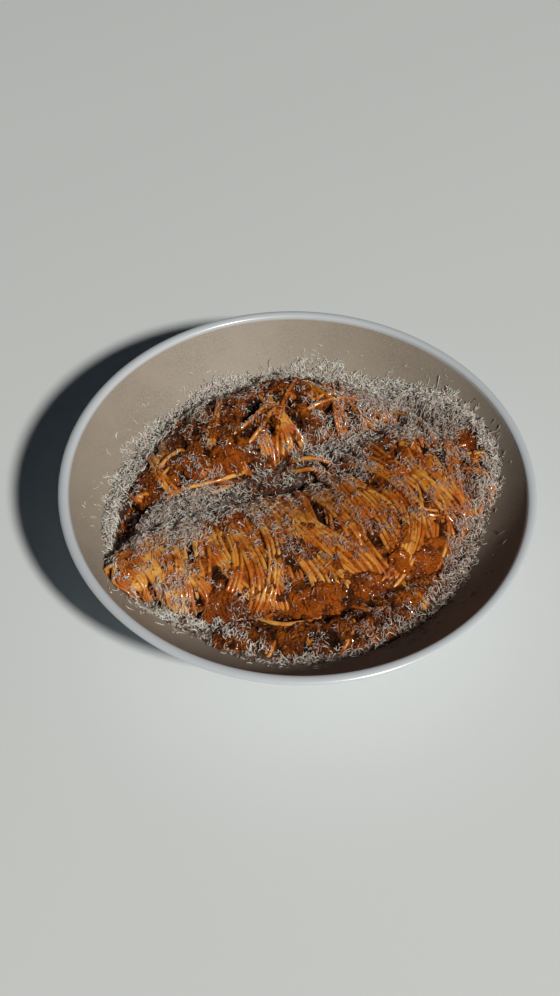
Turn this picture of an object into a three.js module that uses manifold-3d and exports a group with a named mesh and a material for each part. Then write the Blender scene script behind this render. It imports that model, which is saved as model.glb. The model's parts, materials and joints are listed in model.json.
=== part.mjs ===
// A bowl of chorizo tomato pasta: a shallow stoneware bowl, two wound nests of spaghetti, two low
// tangles of strands beside them, thick meat sauce, slices of chorizo and a wide scatter of finely
// grated cheese. Millimetres, +Z up, with the origin under the middle of the foot ring. The bowl is
// looked into from -Y, the side on which the front roll of pasta lies.

import * as THREE from 'three';
import { mergeVertices } from 'three/addons/utils/BufferGeometryUtils.js';
import Module from 'manifold-3d';

const wasm = await Module();
wasm.setup();

// ---- Driving dimensions ------------------------------------------------------------------------

const GAP = 0.3;              // clearance between two pieces that touch
const TURN = 2 * Math.PI;

const BOWL = {
  height: 52,                 // foot to top of rim
  rimOuter: 111.6,            // outer radius of the rounded rim
  rimInner: 107,              // radius where the rim meets the inside
  rimRise: 1.4,               // how far the rim rounds up above its edges
  floor: 7,                   // height of the eating surface in the middle
  curve: 3.3,                 // how late the inside turns up: 2 is a dish, 4 nearly a pan
  wallAtRim: 3.9,
  wallAtFoot: 5.4,
  footOuter: 58,
  footInner: 47,
  footHeight: 5,
  footTaper: 2,
  recess: 2.6,                // depth of the hollow inside the foot ring
  outsideTop: 105,            // inside radii that the outside wall is measured from
  outsideFoot: 64,
  segments: 36,
  steps: 8,                   // rings of facets up the inside
  outsideSteps: 4,
};

// Cooked spaghetti with its sauce: how high it rides on the core, how unevenly it is laid along the
// core and how far it sways.
const STRAND = {
  radius: 1.5, sides: 4, points: 9, lift: 0.3, liftSpread: 0.5,
  firstAlong: 0.05, lastAlong: 0.95, uneven: 0.4, slantSpread: 0.02, sway: 0.006, endSpread: 14,
};

// A curl of grated cheese: its foot is sunk in the heap, it bends just above it and then lies over.
const SHRED = {
  radius: 0.6, sides: 3, steps: 2, shortest: 4, longest: 9, sunk: 1, bendHeight: 1.6, bendSpread: 1,
  from: 35, to: 145, droop: 0.8, rise: 0.4,
};

// Each heap of strands is wound round a core. A core follows a line through the bowl, and at each
// point of that line it has a half-width and a half-height: [x, y, z, half-width, half-height].
//   sides, rings   facets round the core and along it
//   blunt          how squarely its ends are rounded: 2 is an ellipse, 8 nearly flat
//   lumps          height of the uneven lumps on it
//   strands, steps how many strands show, and the stretches in each
//   from, to       where the strands dive in, in degrees round the core: 0 is its near side, 90 its top
//   slant, fan     how far a strand runs along the core on its way over, and how much more at the end
//   shreds         how many curls of cheese stand out of it
const FRONT_ROLL = {
  line: [
    [-84, -53, 38.5, 9, 6],
    [-68, -44, 32.5, 18, 11],
    [-45, -38, 28, 26, 16],
    [-15, -31, 26, 33, 18.3],
    [14, -25, 26, 35, 18.3],
    [42, -6, 26.5, 36, 17.8],
    [57, 17, 28.5, 35, 16],
    [75, 37, 33, 26, 10],
  ],
  sides: 14, rings: 13, blunt: 5, lumps: 0.8,
  strands: 13, steps: 8, from: 8, to: 168, slant: 0.03, fan: -0.2, shreds: 5,
};
const BACK_NEST = {
  line: [
    [-77, -2, 29.5, 9, 6],
    [-61, 15, 27.5, 17, 11],
    [-43, 31, 27, 23, 14.5],
    [-24, 46, 27.5, 24, 15],
    [-4, 56, 28, 23, 14.5],
    [15, 59, 28, 19, 13],
    [33, 59, 29, 14, 10],
    [50, 61, 31, 10, 6],
  ],
  sides: 12, rings: 11, blunt: 4, lumps: 1,
  strands: 9, steps: 6, from: 8, to: 165, slant: 0.05, fan: 0.02, shreds: 4,
};
const FRONT_TANGLE = {
  line: [
    [-37, -77, 29, 7, 5],
    [-18, -76, 26.5, 10, 7],
    [0, -75, 26, 11, 7.5],
    [18, -72, 26, 10, 7.5],
    [38, -62, 26.5, 9.5, 7],
    [54, -49, 27, 9, 6.5],
    [69, -36, 28, 7, 5],
  ],
  sides: 9, rings: 9, blunt: 4, lumps: 0.8,
  strands: 6, steps: 4, from: 20, to: 150, slant: 0.04, fan: 0, shreds: 3,
};
const RIGHT_TANGLE = {
  line: [
    [83, -4, 30, 6, 5],
    [86, 16, 33, 9, 7],
    [80, 36, 34, 10, 7.5],
    [66, 55, 33, 8, 6],
  ],
  sides: 9, rings: 7, blunt: 4, lumps: 0.8,
  strands: 4, steps: 4, from: 20, to: 150, slant: 0.06, fan: 0, shreds: 2,
};
const HEAPS = { FRONT_ROLL, BACK_NEST, FRONT_TANGLE, RIGHT_TANGLE };

// The cheese lies as a low drift between the pasta and the wall, and in the trough between the nests.
const CHEESE_RING = {
  line: [
    [-64, -66, 31, 7, 4],
    [-45, -72, 26, 7, 5],
    [-22, -86, 29, 7, 5],
    [0, -89, 29, 8, 5],
    [36, -76, 27, 8, 5],
    [60, -60, 27, 9, 5],
    [81, -33, 28, 10, 5],
    [89, -4, 29, 9, 5],
    [97, 22, 39, 8, 6],
    [90, 45, 40, 10, 6],
    [70, 66, 36, 10, 6],
    [38, 77, 27, 10, 6],
    [8, 85, 26, 10, 6],
    [-22, 81, 25, 9, 5],
    [-48, 70, 25, 9, 5],
    [-70, 47, 25, 9, 5],
    [-83, 20, 26, 8, 5],
    [-89, -6, 29, 7, 5],
    [-90, -26, 33, 5, 4],
  ],
  sides: 7, rings: 25, blunt: 8, lumps: 0.8, shreds: 26,
};
const CHEESE_TROUGH = {
  line: [
    [-74, -24, 31, 7, 5],
    [-58, -13, 29, 13, 8.5],
    [-36, 2, 27, 11, 8],
    [-8, 20, 26, 11, 7],
    [18, 33, 27, 12, 7],
    [44, 50, 29, 12, 7],
  ],
  sides: 7, rings: 7, blunt: 4, lumps: 0.8, shreds: 6,
};

// The sauce fills the bottom of the bowl under the pasta, and rises between the heaps to its top.
const POOL = { base: 12, top: 26, reach: 82, ripple: 1.1, rings: 3, segments: 18, overlap: 1 };

// Slices and lumps of chorizo: [x, y, half-length, half-width, half-thickness, lean, turn, squareness].
// The lean tips a piece forward and the turn spins it, both in degrees. The higher the squareness,
// the flatter its faces: 2 is an egg, 5 a cut block.
const CHORIZO = {
  slice_front_left: [-32, -62, 9, 8.5, 5, 48, -12, 4],
  lump_roll_top: [-31, -20, 8.5, 8, 5, -8, 20, 2.6],
  lump_back_left: [-50, 17, 6.5, 8.5, 6, 30, 15, 2.6],
  lump_back_right: [-34, 20, 9, 8.5, 6.5, 34, -12, 2.6],
  slice_right: [59, -33, 7.5, 7.5, 4, 40, 28, 3],
  lump_right: [46, -38, 6.5, 6.5, 5, 34, 20, 2.6],
  piece_left: [-80, -17, 7, 5, 4, 8, -10, 4],
  slice_upper_right: [54, 20, 6, 8, 3.6, 6, 60, 3.2],
  lump_upper_right: [44, 32, 7, 5.5, 3.5, -8, 50, 2.6],
  lump_far_right: [85, 34, 7, 6, 4.5, -4, 70, 2.8],
  slice_front: [9, -58, 13, 8, 4.5, 50, 6, 3.2],
  lump_front_right: [33, -50, 8, 7, 4.5, 44, 20, 2.8],
};
const LUMP = { segments: 8, rings: 5, wobble: 0.06, sink: 0 };

const COLOURS = {
  bowl: [0xd9dbd8, 0.35],
  pasta: [0xb8671c, 0.4],
  sauce: [0x7a2d0c, 0.3],
  chorizo: [0x8a2a0e, 0.35],
  cheese: [0xcfc6b6, 0.8],
};

// ---- Small tools -------------------------------------------------------------------------------

// A repeatable stream of random numbers from 0 to 1.
function seeded(seed) {
  let state = seed;
  return () => {
    state = (state + 0x6d2b79f5) | 0;
    let mixed = Math.imul(state ^ (state >>> 15), 1 | state);
    mixed = (mixed + Math.imul(mixed ^ (mixed >>> 7), 61 | mixed)) ^ mixed;
    return ((mixed ^ (mixed >>> 14)) >>> 0) / 4294967296;
  };
}

const degrees = (angle) => THREE.MathUtils.degToRad(angle);

// A closed geometry as a solid that can be joined and cut.
function solid(geometry) {
  const bare = geometry.index ? geometry.toNonIndexed() : geometry;
  bare.deleteAttribute('normal');
  bare.deleteAttribute('uv');
  const merged = mergeVertices(bare, 1e-4);
  const vertProperties = Float32Array.from(merged.attributes.position.array);
  const triVerts = Uint32Array.from(fullTriangles(merged.index.array));
  return new wasm.Manifold(new wasm.Mesh({ numProp: 3, vertProperties, triVerts }));
}

// Merging leaves flat triangles at the poles of a sphere or lathe: they are left out.
function fullTriangles(index) {
  const kept = [];
  for (let i = 0; i < index.length; i += 3) {
    const [a, b, c] = [index[i], index[i + 1], index[i + 2]];
    if (a !== b && b !== c && c !== a) {
      kept.push(a, b, c);
    }
  }
  return kept;
}

function joined(solids) {
  return solids.reduce((whole, piece) => whole.add(piece));
}

function cutBy(body, cutters) {
  return cutters.reduce((left, cutter) => left.subtract(cutter), body);
}

// The biggest piece of a solid: scraps that a cut leaves behind are dropped.
function largest(body) {
  const pieces = body.decompose();
  return pieces.reduce((best, piece) => (piece.volume() > best.volume() ? piece : best));
}

function meshOf(name, body, [colour, roughness]) {
  const { numProp, vertProperties, triVerts } = body.getMesh();
  const geometry = new THREE.BufferGeometry();
  const buffer = new THREE.InterleavedBuffer(vertProperties, numProp);
  geometry.setAttribute('position', new THREE.InterleavedBufferAttribute(buffer, 3, 0));
  geometry.setIndex(new THREE.BufferAttribute(triVerts, 1));
  geometry.computeVertexNormals();
  const material = new THREE.MeshStandardMaterial({ color: colour, roughness, metalness: 0 });
  const mesh = new THREE.Mesh(geometry, material);
  mesh.name = name;
  return mesh;
}

// ---- Bowl --------------------------------------------------------------------------------------

const rimEdge = BOWL.height - BOWL.rimRise;

// Height of the inside at a radius, and how steeply it climbs there.
function insideHeight(radius) {
  return BOWL.floor + (rimEdge - BOWL.floor) * (radius / BOWL.rimInner) ** BOWL.curve;
}

function insideSlope(radius) {
  const rise = (rimEdge - BOWL.floor) * BOWL.curve / BOWL.rimInner;
  return rise * (radius / BOWL.rimInner) ** (BOWL.curve - 1);
}

// A point on the outside, square to the wall from the inside.
function outsidePoint(radius) {
  const slope = insideSlope(radius);
  const length = Math.hypot(1, slope);
  const along = (radius - BOWL.footOuter) / (BOWL.rimInner - BOWL.footOuter);
  const wall = THREE.MathUtils.lerp(BOWL.wallAtFoot, BOWL.wallAtRim, along);
  return new THREE.Vector2(radius + wall * slope / length, insideHeight(radius) - wall / length);
}

function insideCurve(clearance) {
  const points = [];
  for (let i = 0; i <= BOWL.steps; i += 1) {
    const radius = BOWL.rimInner * (i / BOWL.steps) ** 0.7;
    const slope = insideSlope(radius);
    const length = Math.hypot(1, slope);
    const x = Math.max(0, radius - clearance * slope / length);
    points.push(new THREE.Vector2(i ? x : 0, insideHeight(radius) + clearance / length));
  }
  return points;
}

function lathe(points) {
  const geometry = new THREE.LatheGeometry(points, BOWL.segments);
  geometry.rotateX(Math.PI / 2);
  return geometry;
}

function buildBowl() {
  const profile = insideCurve(0);
  const rimMiddle = (BOWL.rimOuter + BOWL.rimInner) / 2;
  const rimHalf = (BOWL.rimOuter - BOWL.rimInner) / 2;
  for (let angle = 135; angle >= 0; angle -= 45) {
    const x = rimMiddle + rimHalf * Math.cos(degrees(angle));
    profile.push(new THREE.Vector2(x, rimEdge + BOWL.rimRise * Math.sin(degrees(angle))));
  }
  for (let step = 0; step <= BOWL.outsideSteps; step += 1) {
    const along = (step / BOWL.outsideSteps) ** 0.8;
    profile.push(outsidePoint(THREE.MathUtils.lerp(BOWL.outsideTop, BOWL.outsideFoot, along)));
  }
  profile.push(new THREE.Vector2(BOWL.footOuter, BOWL.footHeight));
  profile.push(new THREE.Vector2(BOWL.footOuter - BOWL.footTaper, 0));
  profile.push(new THREE.Vector2(BOWL.footInner, 0));
  profile.push(new THREE.Vector2(BOWL.footInner - BOWL.footTaper, BOWL.recess));
  profile.push(new THREE.Vector2(0, BOWL.recess));
  return solid(lathe(profile.reverse()));
}

// The room inside the bowl that the food may fill, just clear of the glaze.
function buildRoom() {
  const profile = insideCurve(GAP);
  const top = 2 * BOWL.height;
  profile.push(new THREE.Vector2(profile[profile.length - 1].x, top));
  profile.push(new THREE.Vector2(0, top));
  return solid(lathe(profile));
}

// ---- Heaps: a core and what is wound round it -------------------------------------------------

// Smooth lumps over a surface, from -1 to 1.
function lumpiness(x, y, z) {
  const slow = Math.sin(0.19 * x + 0.11 * z) * Math.cos(0.17 * y - 0.13 * z);
  const quick = Math.sin(0.41 * x - 0.33 * y + 0.27 * z);
  return 0.6 * slow + 0.4 * quick;
}

function curvesOf(heap) {
  if (!heap.curves) {
    const line = heap.line.map(([x, y, z]) => new THREE.Vector3(x, y, z));
    const sizes = heap.line.map(([, , , width, height]) => new THREE.Vector3(width, height, 0));
    heap.curves = {
      line: new THREE.CatmullRomCurve3(line),
      sizes: new THREE.CatmullRomCurve3(sizes),
    };
  }
  return heap.curves;
}

// A point on a heap: along it from 0 to 1, round it in degrees (0 is its near side, 90 its top),
// lifted off the core by a height.
function pointOn(heap, along, round, lift) {
  const { line, sizes } = curvesOf(heap);
  const t = THREE.MathUtils.clamp(along, 0, 1);
  const centre = line.getPoint(t);
  const size = sizes.getPoint(t);
  const side = line.getTangent(t).cross(new THREE.Vector3(0, 0, 1)).normalize();
  const ending = (1 - Math.abs(2 * t - 1) ** heap.blunt) ** (1 / heap.blunt);
  const width = size.x * ending + lift;
  const height = size.y * ending + lift;
  centre.addScaledVector(side, width * Math.cos(degrees(round)));
  centre.z += height * Math.sin(degrees(round));
  return centre;
}

function buildCore(heap, grow) {
  const geometry = new THREE.SphereGeometry(1, heap.sides, heap.rings);
  const position = geometry.attributes.position;
  for (let i = 0; i < position.count; i += 1) {
    const [x, y, z] = [position.getX(i), position.getY(i), position.getZ(i)];
    const along = Math.acos(THREE.MathUtils.clamp(y, -1, 1)) / Math.PI;
    const round = THREE.MathUtils.radToDeg(Math.atan2(-z, x));
    const ending = Math.hypot(x, z) < 1e-6 ? 0 : 1;
    const plain = pointOn(heap, along, round, 0);
    const lump = heap.lumps * lumpiness(plain.x, plain.y, plain.z);
    const point = pointOn(heap, along, round, ending * (lump + grow));
    position.setXYZ(i, point.x, point.y, point.z);
  }
  return solid(geometry);
}

function tube(points, section, steps) {
  const extrudePath = new THREE.CatmullRomCurve3(points);
  return solid(new THREE.ExtrudeGeometry(section, { steps, extrudePath, bevelEnabled: false }));
}

function roundSection(radius, sides) {
  const corners = [];
  for (let i = 0; i < sides; i += 1) {
    const angle = TURN * i / sides;
    corners.push(new THREE.Vector2(radius * Math.cos(angle), radius * Math.sin(angle)));
  }
  return new THREE.Shape(corners);
}

// Strands wound over a heap, from its near side across the top and down the far side.
function buildStrands(heap, grow) {
  const random = seeded(7);
  const section = roundSection(STRAND.radius + grow, STRAND.sides);
  const strands = [];
  for (let i = 0; i < heap.strands; i += 1) {
    const place = (i + 0.5 + STRAND.uneven * (random() - 0.5)) / heap.strands;
    const middle = THREE.MathUtils.lerp(STRAND.firstAlong, STRAND.lastAlong, place);
    const slant = heap.slant + heap.fan * middle ** 3 + STRAND.slantSpread * (random() - 0.5);
    const lift = STRAND.lift + STRAND.liftSpread * random();
    const start = heap.from + STRAND.endSpread * random();
    const end = heap.to - STRAND.endSpread * random();
    const points = [];
    for (let step = 0; step < STRAND.points; step += 1) {
      const round = THREE.MathUtils.lerp(start, end, step / (STRAND.points - 1));
      const sway = STRAND.sway * Math.sin(3 * degrees(round) + i);
      const along = middle + slant * Math.cos(degrees(round)) + sway;
      const atEnd = step === 0 || step === STRAND.points - 1;
      points.push(pointOn(heap, along, round, atEnd ? -STRAND.radius : lift));
    }
    strands.push(tube(points, section, heap.steps));
  }
  return strands;
}

// Curls of grated cheese that stand out of a heap, each with one end sunk in it.
function buildShreds(heap, seed, grow) {
  const random = seeded(seed);
  const section = roundSection(SHRED.radius + grow, SHRED.sides);
  const shreds = [];
  for (let i = 0; i < heap.shreds; i += 1) {
    const along = (i + random()) / heap.shreds;
    const round = THREE.MathUtils.lerp(SHRED.from, SHRED.to, random());
    const foot = pointOn(heap, along, round, -SHRED.sunk);
    const bend = pointOn(heap, along, round, SHRED.bendHeight + SHRED.bendSpread * random());
    const turn = TURN * random();
    const length = THREE.MathUtils.lerp(SHRED.shortest, SHRED.longest, random());
    const tip = bend.clone();
    tip.x += length * Math.cos(turn);
    tip.y += length * Math.sin(turn);
    tip.z += THREE.MathUtils.lerp(-SHRED.droop, SHRED.rise, random());
    shreds.push(tube([foot, bend, tip], section, SHRED.steps));
  }
  return shreds;
}

// ---- Chorizo -----------------------------------------------------------------------------------

const DOWN = new THREE.Vector3(0, 0, -1);

function heightAt(x, y, meshes) {
  const ray = new THREE.Raycaster(new THREE.Vector3(x, y, 200), DOWN);
  return ray.intersectObjects(meshes)[0].point.z;
}

// A piece with rounded, slightly uneven faces, lowered on to what lies under its middle.
function buildChorizo([x, y, length, width, thickness, lean, turn, squareness], ground, grow) {
  const geometry = new THREE.SphereGeometry(1, LUMP.segments, LUMP.rings);
  const position = geometry.attributes.position;
  const point = new THREE.Vector3();
  for (let i = 0; i < position.count; i += 1) {
    point.fromBufferAttribute(position, i);
    const sum = Math.abs(point.x) ** squareness + Math.abs(point.y) ** squareness
      + Math.abs(point.z) ** squareness;
    const uneven = 1 + LUMP.wobble * lumpiness(x + 20 * point.x, y + 20 * point.y, 20 * point.z);
    point.multiplyScalar(uneven * sum ** (-1 / squareness));
    const [x1, y1, z1] = [point.x * (length + grow), point.z * (width + grow), point.y * (thickness + grow)];
    position.setXYZ(i, x1, y1, z1);
  }
  flipFaces(geometry);
  geometry.rotateX(degrees(lean));
  geometry.rotateZ(degrees(turn));
  geometry.translate(x, y, ground + LUMP.sink * thickness);
  return solid(geometry);
}

// Swapping two axes turns a mesh inside out: this turns its faces back.
function flipFaces(geometry) {
  const index = geometry.index;
  for (let i = 0; i < index.count; i += 3) {
    const first = index.getX(i);
    index.setX(i, index.getX(i + 1));
    index.setX(i + 1, first);
  }
}

// ---- Sauce -------------------------------------------------------------------------------------

// A pool of sauce with a flat or rippled top, wider than the bowl is at its height.
function buildPool(bottom, top, reach, ripple) {
  const levels = [[0, bottom], [reach, bottom], [reach, top]];
  for (let ring = POOL.rings - 1; ring >= 0; ring -= 1) {
    levels.push([reach * ring / POOL.rings, top]);
  }
  const profile = levels.map(([x, y]) => new THREE.Vector2(x, y));
  const geometry = new THREE.LatheGeometry(profile, POOL.segments);
  geometry.rotateX(Math.PI / 2);
  const position = geometry.attributes.position;
  for (let i = 0; i < position.count; i += 1) {
    const [x, y, z] = [position.getX(i), position.getY(i), position.getZ(i)];
    if (z > top - 1e-3) {
      position.setZ(i, top + ripple * lumpiness(1.6 * x, 1.6 * y, 0));
    }
  }
  return solid(geometry);
}

// ---- Assembly ----------------------------------------------------------------------------------

const room = buildRoom();
const bottomPool = buildPool(0, POOL.base, POOL.reach, 0).intersect(room);
const bottomPoolSpace = buildPool(0, POOL.base + GAP, POOL.reach, 0);

const nodes = { bowl: [buildBowl(), COLOURS.bowl] };

// The bare cores come first: each gives way to those before it.
const cores = {};
const coreSpaces = {};
for (const [name, heap] of Object.entries(HEAPS)) {
  const earlier = Object.values(coreSpaces);
  cores[name] = largest(cutBy(buildCore(heap, 0).intersect(room), [bottomPoolSpace, ...earlier]));
  coreSpaces[name] = buildCore(heap, GAP);
}

// The chorizo is fitted to the bare cores.
const coreMeshes = Object.entries(cores).map(([name, core]) => meshOf(name, core, COLOURS.pasta));
const bowlMesh = meshOf('ground', nodes.bowl[0], COLOURS.bowl);
coreMeshes.push(bowlMesh);
const chorizo = {};
const chorizoSpaces = [];
for (const [name, piece] of Object.entries(CHORIZO)) {
  const ground = heightAt(piece[0], piece[1], coreMeshes);
  const others = [...Object.values(coreSpaces), ...chorizoSpaces];
  chorizo[name] = largest(cutBy(buildChorizo(piece, ground, 0).intersect(room), others));
  chorizoSpaces.push(buildChorizo(piece, ground, GAP));
}

// The strands and the cheese on them are fused to their core, clear of everything else.
const heapSpaces = [];
const heapNames = Object.keys(HEAPS);
heapNames.forEach((name, order) => {
  const heap = HEAPS[name];
  const wound = [...buildStrands(heap, 0), ...buildShreds(heap, 20 + order, 0)];
  const laterCores = heapNames.slice(order + 1).map((later) => coreSpaces[later]);
  const others = [bottomPoolSpace, ...heapSpaces, ...laterCores, ...chorizoSpaces];
  const extra = cutBy(joined(wound).intersect(room), others);
  const whole = cutBy(cores[name].add(extra), heapSpaces);
  nodes[name.toLowerCase()] = [largest(whole), COLOURS.pasta];
  const woundSpaces = [...buildStrands(heap, GAP), ...buildShreds(heap, 20 + order, GAP)];
  heapSpaces.push(coreSpaces[name].add(joined(woundSpaces)));
});

for (const [name, body] of Object.entries(chorizo)) {
  nodes[`chorizo_${name}`] = [body, COLOURS.chorizo];
}

const fillBottom = POOL.base - POOL.overlap;
const fill = buildPool(fillBottom, POOL.top, POOL.reach, POOL.ripple).intersect(room);
const bareSpaces = [...Object.values(coreSpaces), ...chorizoSpaces];
nodes.sauce_bed = [largest(bottomPool.add(cutBy(fill, bareSpaces))), COLOURS.sauce];

const poolSpace = buildPool(0, POOL.top + GAP, POOL.reach + GAP, POOL.ripple);
const cheeseOthers = [...heapSpaces, ...chorizoSpaces, poolSpace];
[CHEESE_RING, CHEESE_TROUGH].forEach((heap, order) => {
  const drift = [buildCore(heap, 0), ...buildShreds(heap, 40 + order, 0)];
  const body = largest(cutBy(joined(drift).intersect(room), cheeseOthers));
  nodes[order ? 'cheese_trough' : 'cheese_ring'] = [body, COLOURS.cheese];
});

const pasta = new THREE.Group();
for (const [name, [body, colour]] of Object.entries(nodes)) {
  pasta.add(meshOf(name, body, colour));
}

export default pasta;
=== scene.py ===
# %% [markdown]
# # A bowl of chorizo tomato pasta
# This lesson dresses a finished model of a filled pasta bowl. The model gives every piece its place
# and size, and hides behind finer meshes: a turned bowl, wound spaghetti, coarse meat sauce, chorizo
# and thousands of curls of grated cheese. The imported model is loaded first, because everything is
# placed from it.

# %% Load the model
import json
import math
from itertools import product

import bmesh
import bpy
import numpy as np
from mathutils import Matrix, Vector
from mathutils.bvhtree import BVHTree

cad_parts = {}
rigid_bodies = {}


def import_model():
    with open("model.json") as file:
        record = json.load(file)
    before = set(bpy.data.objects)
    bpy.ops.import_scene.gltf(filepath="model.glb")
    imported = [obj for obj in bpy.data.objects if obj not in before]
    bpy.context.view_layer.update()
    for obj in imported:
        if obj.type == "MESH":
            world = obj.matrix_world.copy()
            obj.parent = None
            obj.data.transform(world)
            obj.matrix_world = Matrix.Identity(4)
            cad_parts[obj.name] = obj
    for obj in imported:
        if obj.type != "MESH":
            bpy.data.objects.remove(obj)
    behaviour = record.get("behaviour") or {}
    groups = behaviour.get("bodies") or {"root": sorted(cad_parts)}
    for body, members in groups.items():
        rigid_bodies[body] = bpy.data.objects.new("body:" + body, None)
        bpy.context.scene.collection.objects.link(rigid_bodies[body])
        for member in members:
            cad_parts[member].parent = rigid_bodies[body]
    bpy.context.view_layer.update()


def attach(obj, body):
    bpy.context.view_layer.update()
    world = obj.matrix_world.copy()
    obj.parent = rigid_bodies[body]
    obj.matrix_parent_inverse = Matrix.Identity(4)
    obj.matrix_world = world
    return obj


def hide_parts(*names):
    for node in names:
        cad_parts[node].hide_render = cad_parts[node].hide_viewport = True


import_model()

MM = 0.001

# %% [markdown]
# ## Camera
# The bowl is seen from above its near side, with the picture turned very slightly. The camera could
# be aimed by a constraint, but a matrix made from the three directions of the view is exact and
# needs nothing live. The lens is the one that gives the bowl's rim the shape it has in the picture.

# %% Camera
VIEW_ELEVATION = math.radians(51.53)
VIEW_ROLL = math.radians(1.49)
VIEW_DISTANCE = 0.733
VIEW_AIM = Vector((-0.0082, 0.0288, 0.0))
FILM_SIDE = 36.0
FILM_PIXELS = 996
FOCAL_PIXELS = 1444


def make_camera():
    view = Vector((0, math.cos(VIEW_ELEVATION), -math.sin(VIEW_ELEVATION)))
    level = Vector((1, 0, 0))
    upright = level.cross(view)
    right = level * math.cos(VIEW_ROLL) + upright * math.sin(VIEW_ROLL)
    up = upright * math.cos(VIEW_ROLL) - level * math.sin(VIEW_ROLL)
    data = bpy.data.cameras.new("camera")
    data.sensor_fit = "VERTICAL"
    data.sensor_height = FILM_SIDE
    data.lens = FILM_SIDE * FOCAL_PIXELS / FILM_PIXELS
    camera = bpy.data.objects.new("camera", data)
    bpy.context.scene.collection.objects.link(camera)
    turn = Matrix((right, up, -view)).transposed().to_4x4()
    camera.matrix_world = Matrix.Translation(VIEW_AIM - view * VIEW_DISTANCE) @ turn
    bpy.context.scene.camera = camera
    return camera


camera = make_camera()
print("camera height", round(camera.matrix_world.translation.z, 3), "lens", round(camera.data.lens, 1))

# %% [markdown]
# ## Shapes that the pieces share
# Lengths are in millimetres until a mesh is made. The heaps of spaghetti follow the same centre
# lines as the solids that they replace, so the same smooth curve is worked out here. Random bumps
# could come from a Displace modifier, but a small lattice of random values gives them for whole
# arrays at once, and gives the same bumps on every run.

# %% Curves and bumps
BOWL_HEIGHT = 52.0
RIM_OUTER = 111.6
RIM_INNER = 107.0
RIM_RISE = 1.4
BOWL_FLOOR = 7.0
BOWL_CURVE = 3.3
RIM_EDGE = BOWL_HEIGHT - RIM_RISE


def inside_height(radius):
    return BOWL_FLOOR + (RIM_EDGE - BOWL_FLOOR) * (radius / RIM_INNER) ** BOWL_CURVE


def inside_slope(radius):
    rise = (RIM_EDGE - BOWL_FLOOR) * BOWL_CURVE / RIM_INNER
    return rise * (radius / RIM_INNER) ** (BOWL_CURVE - 1)


def smooth_line(points, t):
    """A smooth curve through points, at places t from 0 to 1."""
    points = np.asarray(points, float)
    place = np.clip(np.asarray(t, float), 0, 1) * (len(points) - 1)
    start = np.minimum(place.astype(int), len(points) - 2)
    weight = (place - start)[:, None]
    longer = np.vstack([2 * points[0] - points[1], points, 2 * points[-1] - points[-2]])
    p0, p1, p2, p3 = (longer[start + k] for k in range(4))
    steps = [np.linalg.norm(b - a, axis=1)[:, None] ** 0.5 for a, b in ((p0, p1), (p1, p2), (p2, p3))]
    middle = np.where(steps[1] < 1e-4, 1.0, steps[1])
    before = np.where(steps[0] < 1e-4, middle, steps[0])
    after = np.where(steps[2] < 1e-4, middle, steps[2])
    leave = ((p1 - p0) / before - (p2 - p0) / (before + middle) + (p2 - p1) / middle) * middle
    arrive = ((p2 - p1) / middle - (p3 - p1) / (middle + after) + (p3 - p2) / after) * middle
    cubic = 2 * p1 - 2 * p2 + leave + arrive
    square = -3 * p1 + 3 * p2 - 2 * leave - arrive
    return ((cubic * weight + square) * weight + leave) * weight + p1


def bumps(points, size, seed):
    """Smooth random bumps of one size, from -1 to 1, at each of many points."""
    table = np.random.default_rng(seed).uniform(-1, 1, 4096)
    cell = np.asarray(points, float) / size
    low = np.floor(cell).astype(np.int64)
    part = cell - low
    part = part * part * (3 - 2 * part)
    total = np.zeros(len(cell))
    for corner in product((0, 1), repeat=3):
        key = ((low + corner) @ np.array([7919, 104729, 1299709])) % 4096
        weight = np.prod(np.where(corner, part, 1 - part), axis=1)
        total += table[key] * weight
    return total


def relief(points, *layers):
    """Bumps of several sizes on top of each other, each layer with its height, size and seed."""
    return sum(height * bumps(points, size, seed) for height, size, seed in layers)


def hill(x, y, middle_x, middle_y, reach_x, reach_y):
    """1 at its middle, fading to 0 round it."""
    return np.exp(-((x - middle_x) / reach_x) ** 2 - ((y - middle_y) / reach_y) ** 2)


def smooth_step(low, high, value):
    x = np.clip((value - low) / (high - low), 0, 1)
    return x * x * (3 - 2 * x)


def mesh_object(name, points, faces=(), edges=()):
    """A smooth-shaded mesh from points in millimetres."""
    mesh = bpy.data.meshes.new(name)
    mesh.from_pydata((np.asarray(points, float) * MM).tolist(), list(edges), list(faces))
    if len(mesh.polygons):
        mesh.polygons.foreach_set("use_smooth", [True] * len(mesh.polygons))
    thing = bpy.data.objects.new(name, mesh)
    bpy.context.scene.collection.objects.link(thing)
    return thing


def outward(thing):
    """Joins doubled points and turns all faces outwards."""
    work = bmesh.new()
    work.from_mesh(thing.data)
    bmesh.ops.remove_doubles(work, verts=work.verts, dist=0.01 * MM)
    bmesh.ops.recalc_face_normals(work, faces=work.faces)
    work.to_mesh(thing.data)
    work.free()
    return thing


def vertex_places(thing):
    places = np.zeros(len(thing.data.vertices) * 3)
    thing.data.vertices.foreach_get("co", places)
    return places.reshape(-1, 3) / MM


def mark(thing, label, values):
    """Stores one number for each point of a mesh, for node trees and materials to read."""
    layer = thing.data.attributes.new(label, "FLOAT", "POINT")
    layer.data.foreach_set("value", np.asarray(values, float).ravel())


def tell(thing):
    print(f"{thing.name}: {sum(len(p.vertices) - 2 for p in thing.data.polygons)} triangles")


# %% [markdown]
# ## Geometry Nodes used more than once
# A tree is built in the script, with a named input for each size. Modifiers with drivers could do
# some of this, but a tree keeps one rule in one place. The helpers here make the sockets, link the
# nodes and run a tree on an object. The result is read back as a plain mesh, so nothing live is left.

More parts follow.
